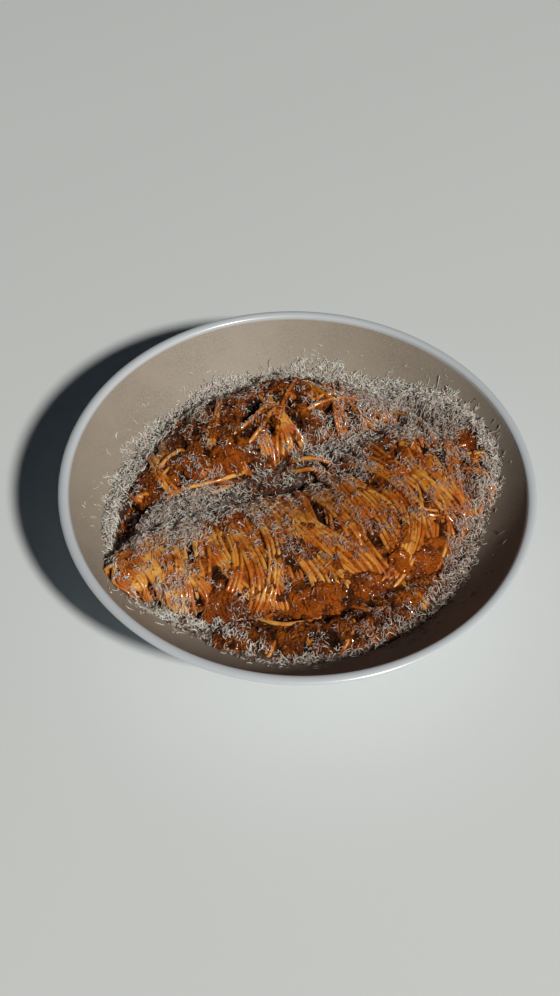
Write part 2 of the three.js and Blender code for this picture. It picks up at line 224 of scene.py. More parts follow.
# %% Helpers for node trees
def start_tree(name, inputs):
    tree = bpy.data.node_groups.new(name, "GeometryNodeTree")
    tree.interface.new_socket("Geometry", in_out="INPUT", socket_type="NodeSocketGeometry")
    tree.interface.new_socket("Geometry", in_out="OUTPUT", socket_type="NodeSocketGeometry")
    for label, kind, value in inputs:
        socket = tree.interface.new_socket(label, in_out="INPUT", socket_type=kind)
        if value is not None:
            socket.default_value = value
    return tree, tree.nodes.new("NodeGroupInput"), tree.nodes.new("NodeGroupOutput")


def add(tree, kind, **settings):
    node = tree.nodes.new(kind)
    for key, value in settings.items():
        if key in node.inputs:
            node.inputs[key].default_value = value
        else:
            setattr(node, key, value)
    return node


def join(tree, *pairs):
    for source, target in pairs:
        tree.links.new(source, target)


def give(tree, socket, value):
    """Links a socket to another one, or sets it to a plain value."""
    if isinstance(value, bpy.types.NodeSocket):
        tree.links.new(value, socket)
    else:
        socket.default_value = value


def maths(tree, operation, *terms):
    node = add(tree, "ShaderNodeMath", operation=operation)
    for socket, term in zip(node.inputs, terms):
        give(tree, socket, term)
    return node.outputs[0]


def chain(tree, *nodes):
    """Hands a geometry on from each node's first output to the next one's first input."""
    for giver, taker in zip(nodes, nodes[1:]):
        tree.links.new(giver.outputs[0], taker.inputs[0])


def finish_tree(tree, start, last, end):
    """The end of every tree: smooth faces, real instances, and the material that was handed in."""
    shade = add(tree, "GeometryNodeSetShadeSmooth")
    real = add(tree, "GeometryNodeRealizeInstances")
    paint = add(tree, "GeometryNodeSetMaterial")
    chain(tree, last, shade, real, paint, end)
    tree.links.new(start.outputs["Material"], paint.inputs["Material"])


def run_tree(thing, tree, **values):
    """Puts a tree on an object, sets its inputs by identifier, and keeps the result as a mesh."""
    modifier = thing.modifiers.new(tree.name, "NODES")
    modifier.node_group = tree
    for item in tree.interface.items_tree:
        if item.in_out == "INPUT" and item.name in values:
            modifier[item.identifier] = values[item.name]
    bpy.context.view_layer.update()
    graph = bpy.context.evaluated_depsgraph_get()
    made = bpy.data.meshes.new_from_object(thing.evaluated_get(graph), depsgraph=graph)
    thing.modifiers.clear()
    thing.data = made
    made.name = thing.name
    return thing


# %% [markdown]
# ## Strands from lines
# A strand of spaghetti, and a curl of cheese too, is a thin section swept along a line. A curve
# object with a bevel would do for one of them, but a tree sweeps thousands at once, and reads each
# one's thickness and twist from marks on its points.

# %% Sweep lines into strands
def make_sweep_tree():
    """Turns every line of a mesh into a strand, thinner where its thickness says so."""
    tree, start, end = start_tree("laid strands", [
        ("Sides", "NodeSocketInt", 8),
        ("Section", "NodeSocketVector", (1.0, 1.0, 1.0)),
        ("Material", "NodeSocketMaterial", None),
    ])
    curve = add(tree, "GeometryNodeMeshToCurve")
    twist = add(tree, "GeometryNodeSetCurveTilt")
    tilt = add(tree, "GeometryNodeInputNamedAttribute", Name="tilt")
    ring = add(tree, "GeometryNodeCurvePrimitiveCircle", Radius=1.0)
    section = add(tree, "GeometryNodeTransform")
    thickness = add(tree, "GeometryNodeInputNamedAttribute", Name="thickness")
    sweep = add(tree, "GeometryNodeCurveToMesh")
    sweep.inputs["Fill Caps"].default_value = True
    chain(tree, start, curve, twist, sweep)
    chain(tree, ring, section)
    join(
        tree,
        (start.outputs["Sides"], ring.inputs["Resolution"]),
        (start.outputs["Section"], section.inputs["Scale"]),
        (section.outputs[0], sweep.inputs["Profile Curve"]),
        (tilt.outputs["Attribute"], twist.inputs["Tilt"]),
        (thickness.outputs["Attribute"], sweep.inputs["Scale"]),
    )
    finish_tree(tree, start, sweep, end)
    return tree


sweep_tree = make_sweep_tree()


def swept(name, lines, thickness, tone, material, sides=8, section=(1, 1, 1), tilt=0.0):
    """Sweeps lines, an array of strand by point by (x, y, z), into strands."""
    count, length = lines.shape[:2]
    first = np.arange(count)[:, None] * length + np.arange(length - 1)[None, :]
    edges = np.stack([first, first + 1], axis=-1).reshape(-1, 2).tolist()
    thing = mesh_object(name, lines.reshape(-1, 3), edges=edges)
    for label, values in (("thickness", thickness * MM), ("tone", tone), ("tilt", tilt)):
        mark(thing, label, np.broadcast_to(values, (count, length)))
    run_tree(thing, sweep_tree, Sides=sides, Section=section, Material=material)
    tell(thing)
    return thing


# %% [markdown]
# ## Materials
# Every finish has its own small network, and what several share is a group: `clots` gives the
# blotches of a sauce film, and `grain` a fine uneven height. A painted picture could hold the same
# blotches, but a pattern worked out from the object's own coordinates never stretches or blurs.

# %% Shared effects
def shader_group(name, inputs, outputs):
    group = bpy.data.node_groups.new(name, "ShaderNodeTree")
    for label, kind, value in inputs:
        socket = group.interface.new_socket(label, in_out="INPUT", socket_type=kind)
        if value is not None:
            socket.default_value = value
    for label, kind in outputs:
        group.interface.new_socket(label, in_out="OUTPUT", socket_type=kind)
    return group, group.nodes.new("NodeGroupInput"), group.nodes.new("NodeGroupOutput")


def make_clots_group():
    """Blotches with soft edges: 1 in a clot and 0 between clots."""
    group, start, end = shader_group(
        "clots",
        [("Vector", "NodeSocketVector", None), ("Scale", "NodeSocketFloat", 100.0),
         ("Cover", "NodeSocketFloat", 0.5), ("Softness", "NodeSocketFloat", 0.1)],
        [("Mask", "NodeSocketFloat")],
    )
    softness = start.outputs["Softness"]
    noise = add(group, "ShaderNodeTexNoise", Detail=5.0, Roughness=0.62)
    ramp = add(group, "ShaderNodeMapRange", interpolation_type="SMOOTHSTEP")
    level = maths(group, "SUBTRACT", 1.0, start.outputs["Cover"])
    join(
        group,
        (start.outputs["Vector"], noise.inputs["Vector"]),
        (start.outputs["Scale"], noise.inputs["Scale"]),
        (noise.outputs["Fac"], ramp.inputs["Value"]),
        (maths(group, "SUBTRACT", level, softness), ramp.inputs["From Min"]),
        (maths(group, "ADD", level, softness), ramp.inputs["From Max"]),
        (ramp.outputs["Result"], end.inputs["Mask"]),
    )
    return group


def make_grain_group():
    """A fine uneven height for a Bump node: soft noise with small pits and beads."""
    group, start, end = shader_group(
        "grain",
        [("Vector", "NodeSocketVector", None), ("Scale", "NodeSocketFloat", 400.0),
         ("Beads", "NodeSocketFloat", 0.5)],
        [("Height", "NodeSocketFloat")],
    )
    noise = add(group, "ShaderNodeTexNoise", Detail=6.0, Roughness=0.6)
    cells = add(group, "ShaderNodeTexVoronoi", feature="SMOOTH_F1")
    for texture, label in product((noise, cells), ("Vector", "Scale")):
        group.links.new(start.outputs[label], texture.inputs[label])
    beads = maths(group, "MULTIPLY", cells.outputs["Distance"], start.outputs["Beads"])
    group.links.new(maths(group, "SUBTRACT", noise.outputs["Fac"], beads), end.inputs["Height"])
    return group


clots_group = make_clots_group()
grain_group = make_grain_group()
print("shared effects:", clots_group.name, "and", grain_group.name)

# %% [markdown]
# ## Building a finish
# Each finish starts from a glossy shader and the object's own coordinates, and its colours are mixed
# one over the other. All nodes could be placed and linked one by one, but with a few small helpers a
# finish reads like a list of its layers.

# %% Helpers for finishes
def new_material(name, **fixed):
    """A material with its shader, and the object's coordinates. Fixed values are set on the shader."""
    material = bpy.data.materials.new(name)
    material.use_nodes = True
    tree = material.node_tree
    shader = tree.nodes["Principled BSDF"]
    for label, value in fixed.items():
        shader.inputs[label.replace("_", " ")].default_value = value
    place = tree.nodes.new("ShaderNodeTexCoord")
    return material, tree, shader, place.outputs["Object"]


def grouped(tree, group, vector, **values):
    node = tree.nodes.new("ShaderNodeGroup")
    node.node_tree = group
    for label, value in values.items():
        node.inputs[label].default_value = value
    tree.links.new(vector, node.inputs["Vector"])
    return node.outputs[0]


def clots(tree, place, scale, cover, softness):
    return grouped(tree, clots_group, place, Scale=scale, Cover=cover, Softness=softness)


def mix_colours(tree, first, second, factor):
    """Mixes two colours, each a socket or (r, g, b), by a factor that is a socket."""
    node = add(tree, "ShaderNodeMix", data_type="RGBA")
    tree.links.new(factor, node.inputs["Factor"])
    ends = [socket for socket in node.inputs if socket.type == "RGBA"]
    for socket, colour in zip(ends, (first, second)):
        give(tree, socket, (*colour, 1) if isinstance(colour, tuple) else colour)
    return [socket for socket in node.outputs if socket.type == "RGBA"][0]


def mapped(tree, value, low, high):
    """A value from 0 to 1 turned into one from low to high."""
    node = add(tree, "ShaderNodeMapRange", **{"To Min": low, "To Max": high})
    tree.links.new(value, node.inputs["Value"])
    return node.outputs["Result"]


def marked(tree, label):
    return add(tree, "ShaderNodeAttribute", attribute_name=label).outputs["Fac"]


def feed(tree, shader, **sources):
    """Links sockets to the shader's inputs, whose names are given with _ for a space."""
    for label, source in sources.items():
        tree.links.new(source, shader.inputs[label.replace("_", " ")])


def roughen(tree, shader, place, scale, beads, strength, depth):
    """Gives the shader an uneven surface from the grain, so many millimetres deep."""
    node = add(tree, "ShaderNodeBump", Strength=strength, Distance=depth * MM)
    tree.links.new(grouped(tree, grain_group, place, Scale=scale, Beads=beads), node.inputs["Height"])
    feed(tree, shader, Normal=node.outputs["Normal"])


# %% [markdown]
# ## Spaghetti finish
# Spaghetti in sauce is pasta stained orange by oil, with clots of red sauce on it. One glossy finish
# could serve for it, but a clear coat of uneven weight over a duller surface gives the broken shine
# of oil. The tone of each strand comes from a mark on its points.

# %% Spaghetti finish
PASTA_PALE = (0.69, 0.36, 0.085)
PASTA_ORANGE = (0.51, 0.175, 0.011)
OIL_ORANGE = (0.43, 0.098, 0.005)
STRAND_CLOT = (0.20, 0.038, 0.002)


def make_strand_material():
    material, tree, shader, place = new_material(
        "oily_spaghetti", Subsurface_Weight=0.1, Subsurface_Scale=0.001, Coat_Roughness=0.1,
        Specular_IOR_Level=0.25)
    stain = clots(tree, place, 110.0, 0.50, 0.12)
    sauce = clots(tree, place, 150.0, 0.40, 0.10)
    pasta = mix_colours(tree, PASTA_PALE, PASTA_ORANGE, marked(tree, "tone"))
    stained = mix_colours(tree, pasta, OIL_ORANGE, stain)
    feed(
        tree, shader, Base_Color=mix_colours(tree, stained, STRAND_CLOT, sauce),
        Roughness=mapped(tree, sauce, 0.42, 0.24), Coat_Weight=mapped(tree, stain, 0.45, 1.0))
    roughen(tree, shader, place, 600.0, 0.5, 0.7, 0.3)
    return material


strand_material = make_strand_material()
print("spaghetti finish:", len(strand_material.node_tree.nodes), "nodes")

# %% [markdown]
# ## Sauce and meat finishes
# The sauce is brown-red and orange where oil stands on it, and its hollows get a near-black painted
# shade. Ambient occlusion could find those hollows while rendering, but the mesh knows them already,
# so the painted shade follows a mark on its points. The crumbs of meat take the sauce's colours,
# without the painted shade.

# %% Sauce and meat finishes
SAUCE_RED = (0.135, 0.027, 0.002)
SAUCE_BROWN = (0.032, 0.007, 0.001)
# Painted shade: the near-black colour painted into the hollows of the sauce and the cheese drifts.
HOLLOW_SHADE = (0.007, 0.002, 0.0008)
SAUCE_ORANGE = (0.32, 0.078, 0.004)


def make_sauce_material():
    material, tree, shader, place = new_material("meat_sauce", Coat_Roughness=0.06, Specular_IOR_Level=0.15)
    oily = clots(tree, place, 130.0, 0.47, 0.10)
    dark = clots(tree, place, 700.0, 0.52, 0.06)
    base = mix_colours(tree, SAUCE_RED, SAUCE_BROWN, dark)
    rich = mix_colours(tree, base, SAUCE_ORANGE, oily)
    oiled = mix_colours(tree, rich, OIL_ORANGE, mapped(tree, marked(tree, "tone"), 0.0, 0.9))
    # Painted shade: the hollows of the mesh are painted nearly black.
    hollow = mapped(tree, marked(tree, "hollow"), 0.0, 0.9)
    feed(
        tree, shader, Base_Color=mix_colours(tree, oiled, HOLLOW_SHADE, hollow),
        Roughness=mapped(tree, oily, 0.5, 0.22), Coat_Weight=mapped(tree, oily, 0.1, 0.6))
    roughen(tree, shader, place, 800.0, 1.1, 1.0, 1.6)
    return material


def make_crumb_material():
    material, tree, shader, place = new_material("minced_meat", Coat_Roughness=0.06, Specular_IOR_Level=0.15)
    dark = clots(tree, place, 480.0, 0.5, 0.1)
    tinted = mix_colours(tree, SAUCE_RED, SAUCE_ORANGE, marked(tree, "tone"))
    feed(
        tree, shader, Base_Color=mix_colours(tree, tinted, SAUCE_RED, dark),
        Roughness=mapped(tree, dark, 0.26, 0.55), Coat_Weight=mapped(tree, dark, 0.8, 0.1))
    roughen(tree, shader, place, 1100.0, 0.6, 0.6, 0.2)
    return material


sauce_material = make_sauce_material()
crumb_material = make_crumb_material()
print("sauce finish:", len(sauce_material.node_tree.nodes), "nodes")

# %% [markdown]
# ## Chorizo finish
# Chorizo is red cured meat with specks of orange fat, and darker where it was seared. The specks
# could be cut into the mesh, but they are flat, so the blotches of the sauce film serve again, small
# and sharp.

# %% Chorizo finish
CHORIZO_RED = (0.12, 0.022, 0.002)
CHORIZO_ORANGE = (0.37, 0.078, 0.001)
CHORIZO_FAT = (0.38, 0.105, 0.008)


def make_chorizo_material():
    material, tree, shader, place = new_material("chorizo", Coat_Roughness=0.06, Specular_IOR_Level=0.15)
    fat = clots(tree, place, 330.0, 0.33, 0.04)
    sear = clots(tree, place, 150.0, 0.5, 0.12)
    meat = mix_colours(tree, CHORIZO_RED, CHORIZO_ORANGE, marked(tree, "tone"))
    speckled = mix_colours(tree, meat, CHORIZO_FAT, fat)
    seared = maths(tree, "MULTIPLY", sear, mapped(tree, marked(tree, "tone"), 1.0, 0.15))
    feed(
        tree, shader, Base_Color=mix_colours(tree, speckled, CHORIZO_RED, seared),
        Roughness=mapped(tree, sear, 0.26, 0.45), Coat_Weight=mapped(tree, sear, 0.6, 0.1))
    roughen(tree, shader, place, 800.0, 1.0, 1.0, 1.3)
    return material


chorizo_material = make_chorizo_material()
print("chorizo finish:", len(chorizo_material.node_tree.nodes), "nodes")

# %% [markdown]
# ## Cheese finishes
# Grated hard cheese is white and lets a little light through, and takes on sauce where it lies on
# it. The curls show their own shape, so they need only a tone each, which holds their sauce stain and
# a painted shade where the bowl's wall shades them. A drift of them is one mesh, and real curls all
# through it would cost millions of faces, so its finish draws pale ridges with painted shade in the
# gaps between them, a tone of sauce stain and painted shade, and a near-black painted shade in its
# hollows instead.

# %% Cheese finishes
CHEESE_WHITE = (0.87, 0.76, 0.68)
# Sauce stain, and painted shade on the side where the bowl's wall shades the cheese.
CHEESE_STAIN_AND_SHADE = (0.37, 0.21, 0.165)
# Painted shade: the dark colour of the gaps between the pale ridges of a drift.
CHEESE_GAP_SHADE = (0.11, 0.072, 0.052)
# Sauce stain, and painted shade where a drift lies in shade.
DRIFT_STAIN_AND_SHADE = (0.055, 0.014, 0.003)


def make_cheese_material():
    material, tree, shader, place = new_material(
        "grated_cheese", Subsurface_Weight=0.4, Subsurface_Scale=0.0012, Roughness=0.5)
    # The tone mixes sauce stain with painted shade.
    feed(tree, shader, Base_Color=mix_colours(tree, CHEESE_WHITE, CHEESE_STAIN_AND_SHADE, marked(tree, "tone")))
    roughen(tree, shader, place, 2500.0, 0.2, 0.4, 0.15)
    return material


def make_drift_material():
    """Packed curls seen from a distance: pale ridges with painted shade in the gaps between them,
    darkened by a tone of sauce stain and painted shade, and painted near-black in the hollows.
    """
    material, tree, shader, place = new_material(
        "cheese_drift", Subsurface_Weight=0.2, Subsurface_Scale=0.001, Roughness=0.6)
    ridge = clots(tree, place, 900.0, 0.48, 0.1)
    pale = mix_colours(tree, CHEESE_GAP_SHADE, CHEESE_WHITE, ridge)
    # The tone here is sauce stain and painted shade together.
    stained = mix_colours(tree, pale, DRIFT_STAIN_AND_SHADE, marked(tree, "tone"))
    hollow = mapped(tree, marked(tree, "hollow"), 0.0, 0.8)
    feed(tree, shader, Base_Color=mix_colours(tree, stained, HOLLOW_SHADE, hollow))
    roughen(tree, shader, place, 1300.0, 0.7, 1.0, 1.2)
    return material


cheese_material = make_cheese_material()
drift_material = make_drift_material()
print("drift finish:", len(drift_material.node_tree.nodes), "nodes")

# %% [markdown]
# ## Bowl finish
# The bowl is stoneware: a white glaze outside and on the rim, and a dry speckled taupe one inside.
# Two materials could be given to two sets of faces, but one material that mixes both, by a mark on
# the points, needs no cut in the mesh.

# %% Bowl finish
GLAZE_WHITE = (0.52, 0.56, 0.60)
GLAZE_FLECK = (0.3, 0.24, 0.18)
GLAZE_TAUPE = (0.305, 0.262, 0.210)
TAUPE_DARK = (0.195, 0.163, 0.128)


def make_bowl_material():
    material, tree, shader, place = new_material("stoneware", Coat_Roughness=0.15)
    speck = clots(tree, place, 1500.0, 0.5, 0.14)
    cloud = clots(tree, place, 26.0, 0.5, 0.3)
    fleck = clots(tree, place, 420.0, 0.235, 0.01)
    taupe = mix_colours(tree, GLAZE_TAUPE, TAUPE_DARK, speck)
    clouded = mix_colours(tree, taupe, GLAZE_TAUPE, cloud)
    white = mix_colours(tree, GLAZE_WHITE, GLAZE_FLECK, fleck)
    inner = marked(tree, "tone")
    feed(
        tree, shader, Base_Color=mix_colours(tree, white, clouded, inner),
        Roughness=mapped(tree, inner, 0.28, 0.62), Coat_Weight=mapped(tree, inner, 0.5, 0.0))
    roughen(tree, shader, place, 1400.0, 0.4, 0.25, 0.15)
    return material


bowl_material = make_bowl_material()
print("bowl finish:", len(bowl_material.node_tree.nodes), "nodes")

# %% [markdown]
# ## Bowl
# The bowl is turned on a wheel, so its whole shape is one outline and one rule. Spinning a mesh
# would do, but a node tree says it better: the outline is a curve, a circle is its path, and the
# sweep of one along the other is the bowl. The outline starts and ends on the axis, where the ring
# of doubled points is merged.

# %% Turn the bowl
WALL_AT_RIM = 3.9
WALL_AT_FOOT = 5.4
FOOT_OUTER = 58.0
FOOT_INNER = 47.0
FOOT_HEIGHT = 5.0
FOOT_TAPER = 2.0
FOOT_RECESS = 2.6
OUTSIDE_TOP = 105.0
OUTSIDE_FOOT = 64.0
PATH_RADIUS = 60.0


def outside_point(radius):
    slope = inside_slope(radius)
    length = math.hypot(1, slope)
    along = (radius - FOOT_OUTER) / (RIM_INNER - FOOT_OUTER)
    wall = WALL_AT_FOOT + along * (WALL_AT_RIM - WALL_AT_FOOT)
    return radius + wall * slope / length, inside_height(radius) - wall / length


def bowl_outline():
    """Points (radius, height, inside or not) from the middle of the inside, over the rim, to the foot."""
    points = [(r, inside_height(r), 1.0) for r in np.linspace(0, RIM_INNER - 0.6, 60)]
    middle, half = (RIM_OUTER + RIM_INNER) / 2, (RIM_OUTER - RIM_INNER) / 2
    for angle in np.radians(np.linspace(180, 0, 15)):
        points.append((middle + half * math.cos(angle), RIM_EDGE + RIM_RISE * math.sin(angle), 0.0))
    for radius in np.linspace(OUTSIDE_TOP, OUTSIDE_FOOT, 34):
        points.append((*outside_point(radius), 0.0))
    for radius, height in foot_corners():
        points.append((radius, height, 0.0))
    return points


def foot_corners():
    """The foot ring, with each corner rounded by a few short steps."""
    outer, inner = FOOT_OUTER - FOOT_TAPER, FOOT_INNER - FOOT_TAPER
    return [
        (FOOT_OUTER + 0.6, FOOT_HEIGHT + 0.9), (FOOT_OUTER, FOOT_HEIGHT - 0.6),
        (outer + 0.5, 1.0), (outer - 0.2, 0.25), (outer - 1.0, 0.0),
        (FOOT_INNER + 1.0, 0.0), (FOOT_INNER + 0.2, 0.25), (FOOT_INNER - 0.4, 0.9),
        (inner + 0.3, FOOT_RECESS - 0.5), (inner - 0.5, FOOT_RECESS),
        (0.5 * FOOT_INNER, FOOT_RECESS), (0.0, FOOT_RECESS),
    ]


def make_turning_tree():
    tree, start, end = start_tree("turned bowl", [
        ("Segments", "NodeSocketInt", 192),
        ("Path Radius", "NodeSocketFloat", PATH_RADIUS * MM),
        ("Material", "NodeSocketMaterial", None),
    ])
    outline = add(tree, "GeometryNodeMeshToCurve")
    path = add(tree, "GeometryNodeCurvePrimitiveCircle")
    sweep = add(tree, "GeometryNodeCurveToMesh")
    merge = add(tree, "GeometryNodeMergeByDistance", Distance=0.02 * MM)
    chain(tree, start, outline)
    chain(tree, path, sweep, merge)
    join(
        tree,
        (start.outputs["Segments"], path.inputs["Resolution"]),
        (start.outputs["Path Radius"], path.inputs["Radius"]),
        (outline.outputs[0], sweep.inputs["Profile Curve"]),
    )
    finish_tree(tree, start, merge, end)
    return tree


def make_bowl():
    outline = bowl_outline()
    points = [(radius - PATH_RADIUS, -height, 0) for radius, height, _ in outline]
    edges = [(i, i + 1) for i in range(len(points) - 1)]
    bowl = mesh_object("stoneware_bowl", points, edges=edges)
    mark(bowl, "tone", [inside for *_, inside in outline])
    run_tree(bowl, make_turning_tree(), Material=bowl_material)
    tell(outward(bowl))
    return bowl


bowl = make_bowl()
print("bowl, in mm:", np.ptp(vertex_places(bowl), axis=0).round(1))

# %% [markdown]
# ## Heaps of spaghetti: where they lie
# Each heap follows a line through the bowl, with a half-width and a half-height at each point of it.
# A heap could be sculpted, but then nothing could be laid on it by rule. Here a place on a heap is
# two numbers, how far along and how far round, and everything that lies on it uses them: the sauce,
# the strands and the cheese.

# %% Heap lines
# Columns: x, y, z, half-width, half-height.
HEAPS = {
    "front_roll": dict(blunt=5, line=[
        (-84, -53, 38.5, 9, 6), (-68, -44, 32.5, 18, 11), (-45, -38, 28, 26, 16),
        (-15, -31, 26, 33, 18.3), (14, -25, 26, 35, 18.3), (42, -6, 26.5, 36, 17.8),
        (57, 17, 28.5, 35, 16), (75, 37, 33, 26, 10)]),
    "back_nest": dict(blunt=4, line=[
        (-77, -2, 29.5, 9, 6), (-61, 15, 27.5, 17, 11), (-43, 31, 27, 23, 14.5),
        (-24, 46, 27.5, 24, 15), (-4, 56, 28, 23, 14.5), (15, 59, 28, 19, 13),
        (33, 59, 29, 14, 10), (50, 61, 31, 10, 6)]),
    "front_tangle": dict(blunt=4, line=[
        (-37, -77, 29, 7, 5), (-18, -76, 26.5, 10, 7), (0, -75, 26, 11, 7.5),
        (18, -72, 26, 10, 7.5), (38, -62, 26.5, 9.5, 7), (54, -49, 27, 9, 6.5), (69, -36, 28, 7, 5)]),
    "right_tangle": dict(blunt=4, line=[
        (83, -4, 30, 6, 5), (86, 16, 33, 9, 7), (80, 36, 34, 10, 7.5), (66, 55, 33, 8, 6)]),
    "cheese_ring": dict(blunt=8, line=[
        (-64, -66, 31, 7, 4), (-45, -72, 26, 7, 5), (-22, -86, 29, 7, 5), (0, -89, 29, 8, 5),
        (36, -76, 27, 8, 5), (60, -60, 27, 9, 5), (81, -33, 28, 10, 5), (89, -4, 29, 9, 5),
        (97, 22, 39, 8, 6), (90, 45, 40, 10, 6), (70, 66, 36, 10, 6), (38, 77, 27, 10, 6),
        (8, 85, 26, 10, 6), (-22, 81, 25, 9, 5), (-48, 70, 25, 9, 5), (-70, 47, 25, 9, 5),
        (-83, 20, 26, 8, 5), (-89, -6, 29, 7, 5), (-90, -26, 33, 5, 4)]),
    "cheese_trough": dict(blunt=4, line=[
        (-74, -24, 31, 7, 5), (-58, -13, 29, 13, 8.5), (-36, 2, 27, 11, 8), (-8, 20, 26, 11, 7),
        (18, 33, 27, 12, 7), (44, 50, 29, 12, 7)]),
}
PASTA_HEAPS = ("front_roll", "back_nest", "front_tangle", "right_tangle")
CHEESE_HEAPS = ("cheese_ring", "cheese_trough")


def on_heap(heap, along, around, lift):
    """Places on a heap: along it from 0 to 1, around it in degrees from its near side over the top."""
    shape = HEAPS[heap]
    line = np.array(shape["line"], float)
    t = np.clip(np.asarray(along, float), 0, 1)
    middle = smooth_line(line[:, :3], t)
    size = smooth_line(line[:, 3:], t)
    before = smooth_line(line[:, :3], np.maximum(t - 1e-4, 0))
    ahead = smooth_line(line[:, :3], np.minimum(t + 1e-4, 1)) - before
    side = np.stack([ahead[:, 1], -ahead[:, 0]], axis=1)
    side /= np.linalg.norm(side, axis=1)[:, None]
    ending = (1 - np.abs(2 * t - 1) ** shape["blunt"]) ** (1 / shape["blunt"])
    angle = np.radians(around)
    middle[:, :2] += side * ((size[:, 0] * ending + lift) * np.cos(angle))[:, None]
    middle[:, 2] += (size[:, 1] * ending + lift) * np.sin(angle)
    return middle


def kept_inside(points, clearance):
    """Lifts points that would sink into the bowl."""
    radius = np.minimum(np.hypot(points[:, 0], points[:, 1]), RIM_INNER)
    points[:, 2] = np.maximum(points[:, 2], inside_height(radius) + clearance)
    return points


print("heaps:", len(PASTA_HEAPS), "of spaghetti and", len(CHEESE_HEAPS), "of cheese")

# %% [markdown]
# ## Spaghetti
# Twirled on a fork, spaghetti lies in bundles: neighbours run nearly side by side, and each bundle
# crosses the next at a small angle. Hair curves could be combed over the heap, but a rule gives the
# same order and keeps the true thickness: each strand goes round the heap from one foot to the
# other, slanting, swaying and riding higher or lower as it goes. A node tree then makes all of a
# heap's strands from their lines at once.

# %% Wind the strands
STRAND_RADIUS = 1.0
STRAND_PITCH = 1.78
STRAND_POINTS = 44
# Per heap: length, bundles, strands in a bundle, single strands, seed, and how far the near end of
# a strand is shifted along the heap, as pairs of place and shift.
WINDING = {
    "front_roll": dict(length=186, bundles=38, fewest=3, most=6, singles=22, seed=11, slants=[
        (0, 0.02), (0.30, 0.01), (0.44, 0.02), (0.52, 0.035), (0.60, -0.02), (0.70, -0.035),
        (0.80, -0.08), (1, -0.10)]),
    "back_nest": dict(length=160, bundles=19, fewest=2, most=5, singles=12, seed=12, slants=[
        (0, 0.0), (0.35, -0.03), (0.45, -0.07), (0.55, -0.02), (0.75, 0.06), (1, 0.10)]),
    "front_tangle": dict(length=118, bundles=3, fewest=2, most=2, singles=1, seed=13, slants=[
        (0, 0.05), (0.5, 0.0), (1, -0.10)]),
    "right_tangle": dict(length=66, bundles=5, fewest=2, most=4, singles=6, seed=14, slants=[
        (0, -0.2), (1, 0.1)]),
}
# Where strands begin and end, in degrees round a heap. Some bundles end on top of it or begin there.
NEAR_FOOT = (-34, 10)
FAR_FOOT = (160, 205)
TOP_END = (72, 112)
TOP_START = (52, 92)
SLANT_SPREAD = 0.032


def bundle_table(heap):
    """One row for each strand: its bundle's values, then its own place in the bundle."""
    wind = WINDING[heap]
    random = np.random.default_rng(wind["seed"])
    sizes = list(random.integers(wind["fewest"], wind["most"] + 1, wind["bundles"])) + [1] * wind["singles"]
    count = wind["bundles"]
    rows = []
    for order, size in enumerate(sizes):
        if order < count:
            middle = 0.025 + 0.95 * (order + 0.5 + random.uniform(-0.35, 0.35)) / count
        else:
            middle = random.uniform(0.04, 0.96)
        slant = np.interp(middle, *zip(*wind["slants"])) + random.normal(0, SLANT_SPREAD)
        near, far = random.uniform(*NEAR_FOOT), random.uniform(*FAR_FOOT)
        tier = random.uniform()
        if tier < 0.25:
            far = random.uniform(*TOP_END)
        elif tier < 0.45:
            near = random.uniform(*TOP_START)
        ride = random.uniform(0.2, 2.0)
        sway, phase, turns = random.uniform(0.008, 0.032), random.uniform(0, 6.3), random.uniform(1.2, 2.8)
        spread, tone = random.uniform(-0.2, 0.3), random.uniform(0.1, 0.8)
        for k in range(size):
            shift = (k - (size - 1) / 2) * STRAND_PITCH / wind["length"]
            rows.append((middle, slant, near, far, ride, sway, phase, turns, spread, tone, shift))
    return np.array(rows)


def strand_lines(heap):
    """Lines of a heap's strands, with a thickness and a tone for each. A strand sways along the heap,
    waves up and down, and dives into the heap at both ends."""
    rows = bundle_table(heap)
    random = np.random.default_rng(WINDING[heap]["seed"] + 100)
    count = len(rows)
    middle, slant, near, far, ride, sway, phase, turns, spread, tone, shift = (c[:, None] for c in rows.T)
    near = near + random.uniform(0, 14, (count, 1))
    far = far - random.uniform(0, 14, (count, 1))
    steps = np.linspace(0, 1, STRAND_POINTS)[None, :]
    around = near + (far - near) * steps
    angle = np.radians(around)
    own = random.uniform(0, 6.3, (count, 1))
    along = middle + slant * np.cos(angle) + sway * np.sin(angle * turns + phase)
    along += 0.005 * np.sin(3.4 * angle + 2 * phase)
    along += shift * (1 + spread * np.cos(angle + phase)) + 0.0022 * np.sin(2.6 * angle + own)
    wave = 0.7 * np.sin(steps * (4 + turns) + phase) + 0.3 * np.sin(steps * 10 + own)
    dive = 3.4 * (np.exp(-(steps / 0.07) ** 2) + np.exp(-((1 - steps) / 0.07) ** 2))
    lift = ride + wave + random.uniform(-0.2, 0.2, (count, 1)) - dive
    points = on_heap(heap, np.clip(along, 0.004, 0.996).ravel(), around.ravel(), lift.ravel())
    points = kept_inside(points, STRAND_RADIUS + 0.4)
    lines = points.reshape(count, STRAND_POINTS, 3)
    lumps = 1 + 0.12 * bumps(points, 3.0, 90).reshape(count, -1)
    thickness = STRAND_RADIUS * random.uniform(0.92, 1.08, (count, 1)) * lumps
    oily = tone + 0.6 * (middle - 0.45) + random.normal(0, 0.14, (count, 1))
    return lines, thickness, np.clip(oily, 0, 1)


def make_strands(heap):
    lines, thickness, tone = strand_lines(heap)
    return swept(f"{heap}_strands", lines, thickness, tone, strand_material)


strands = {heap: make_strands(heap) for heap in PASTA_HEAPS}
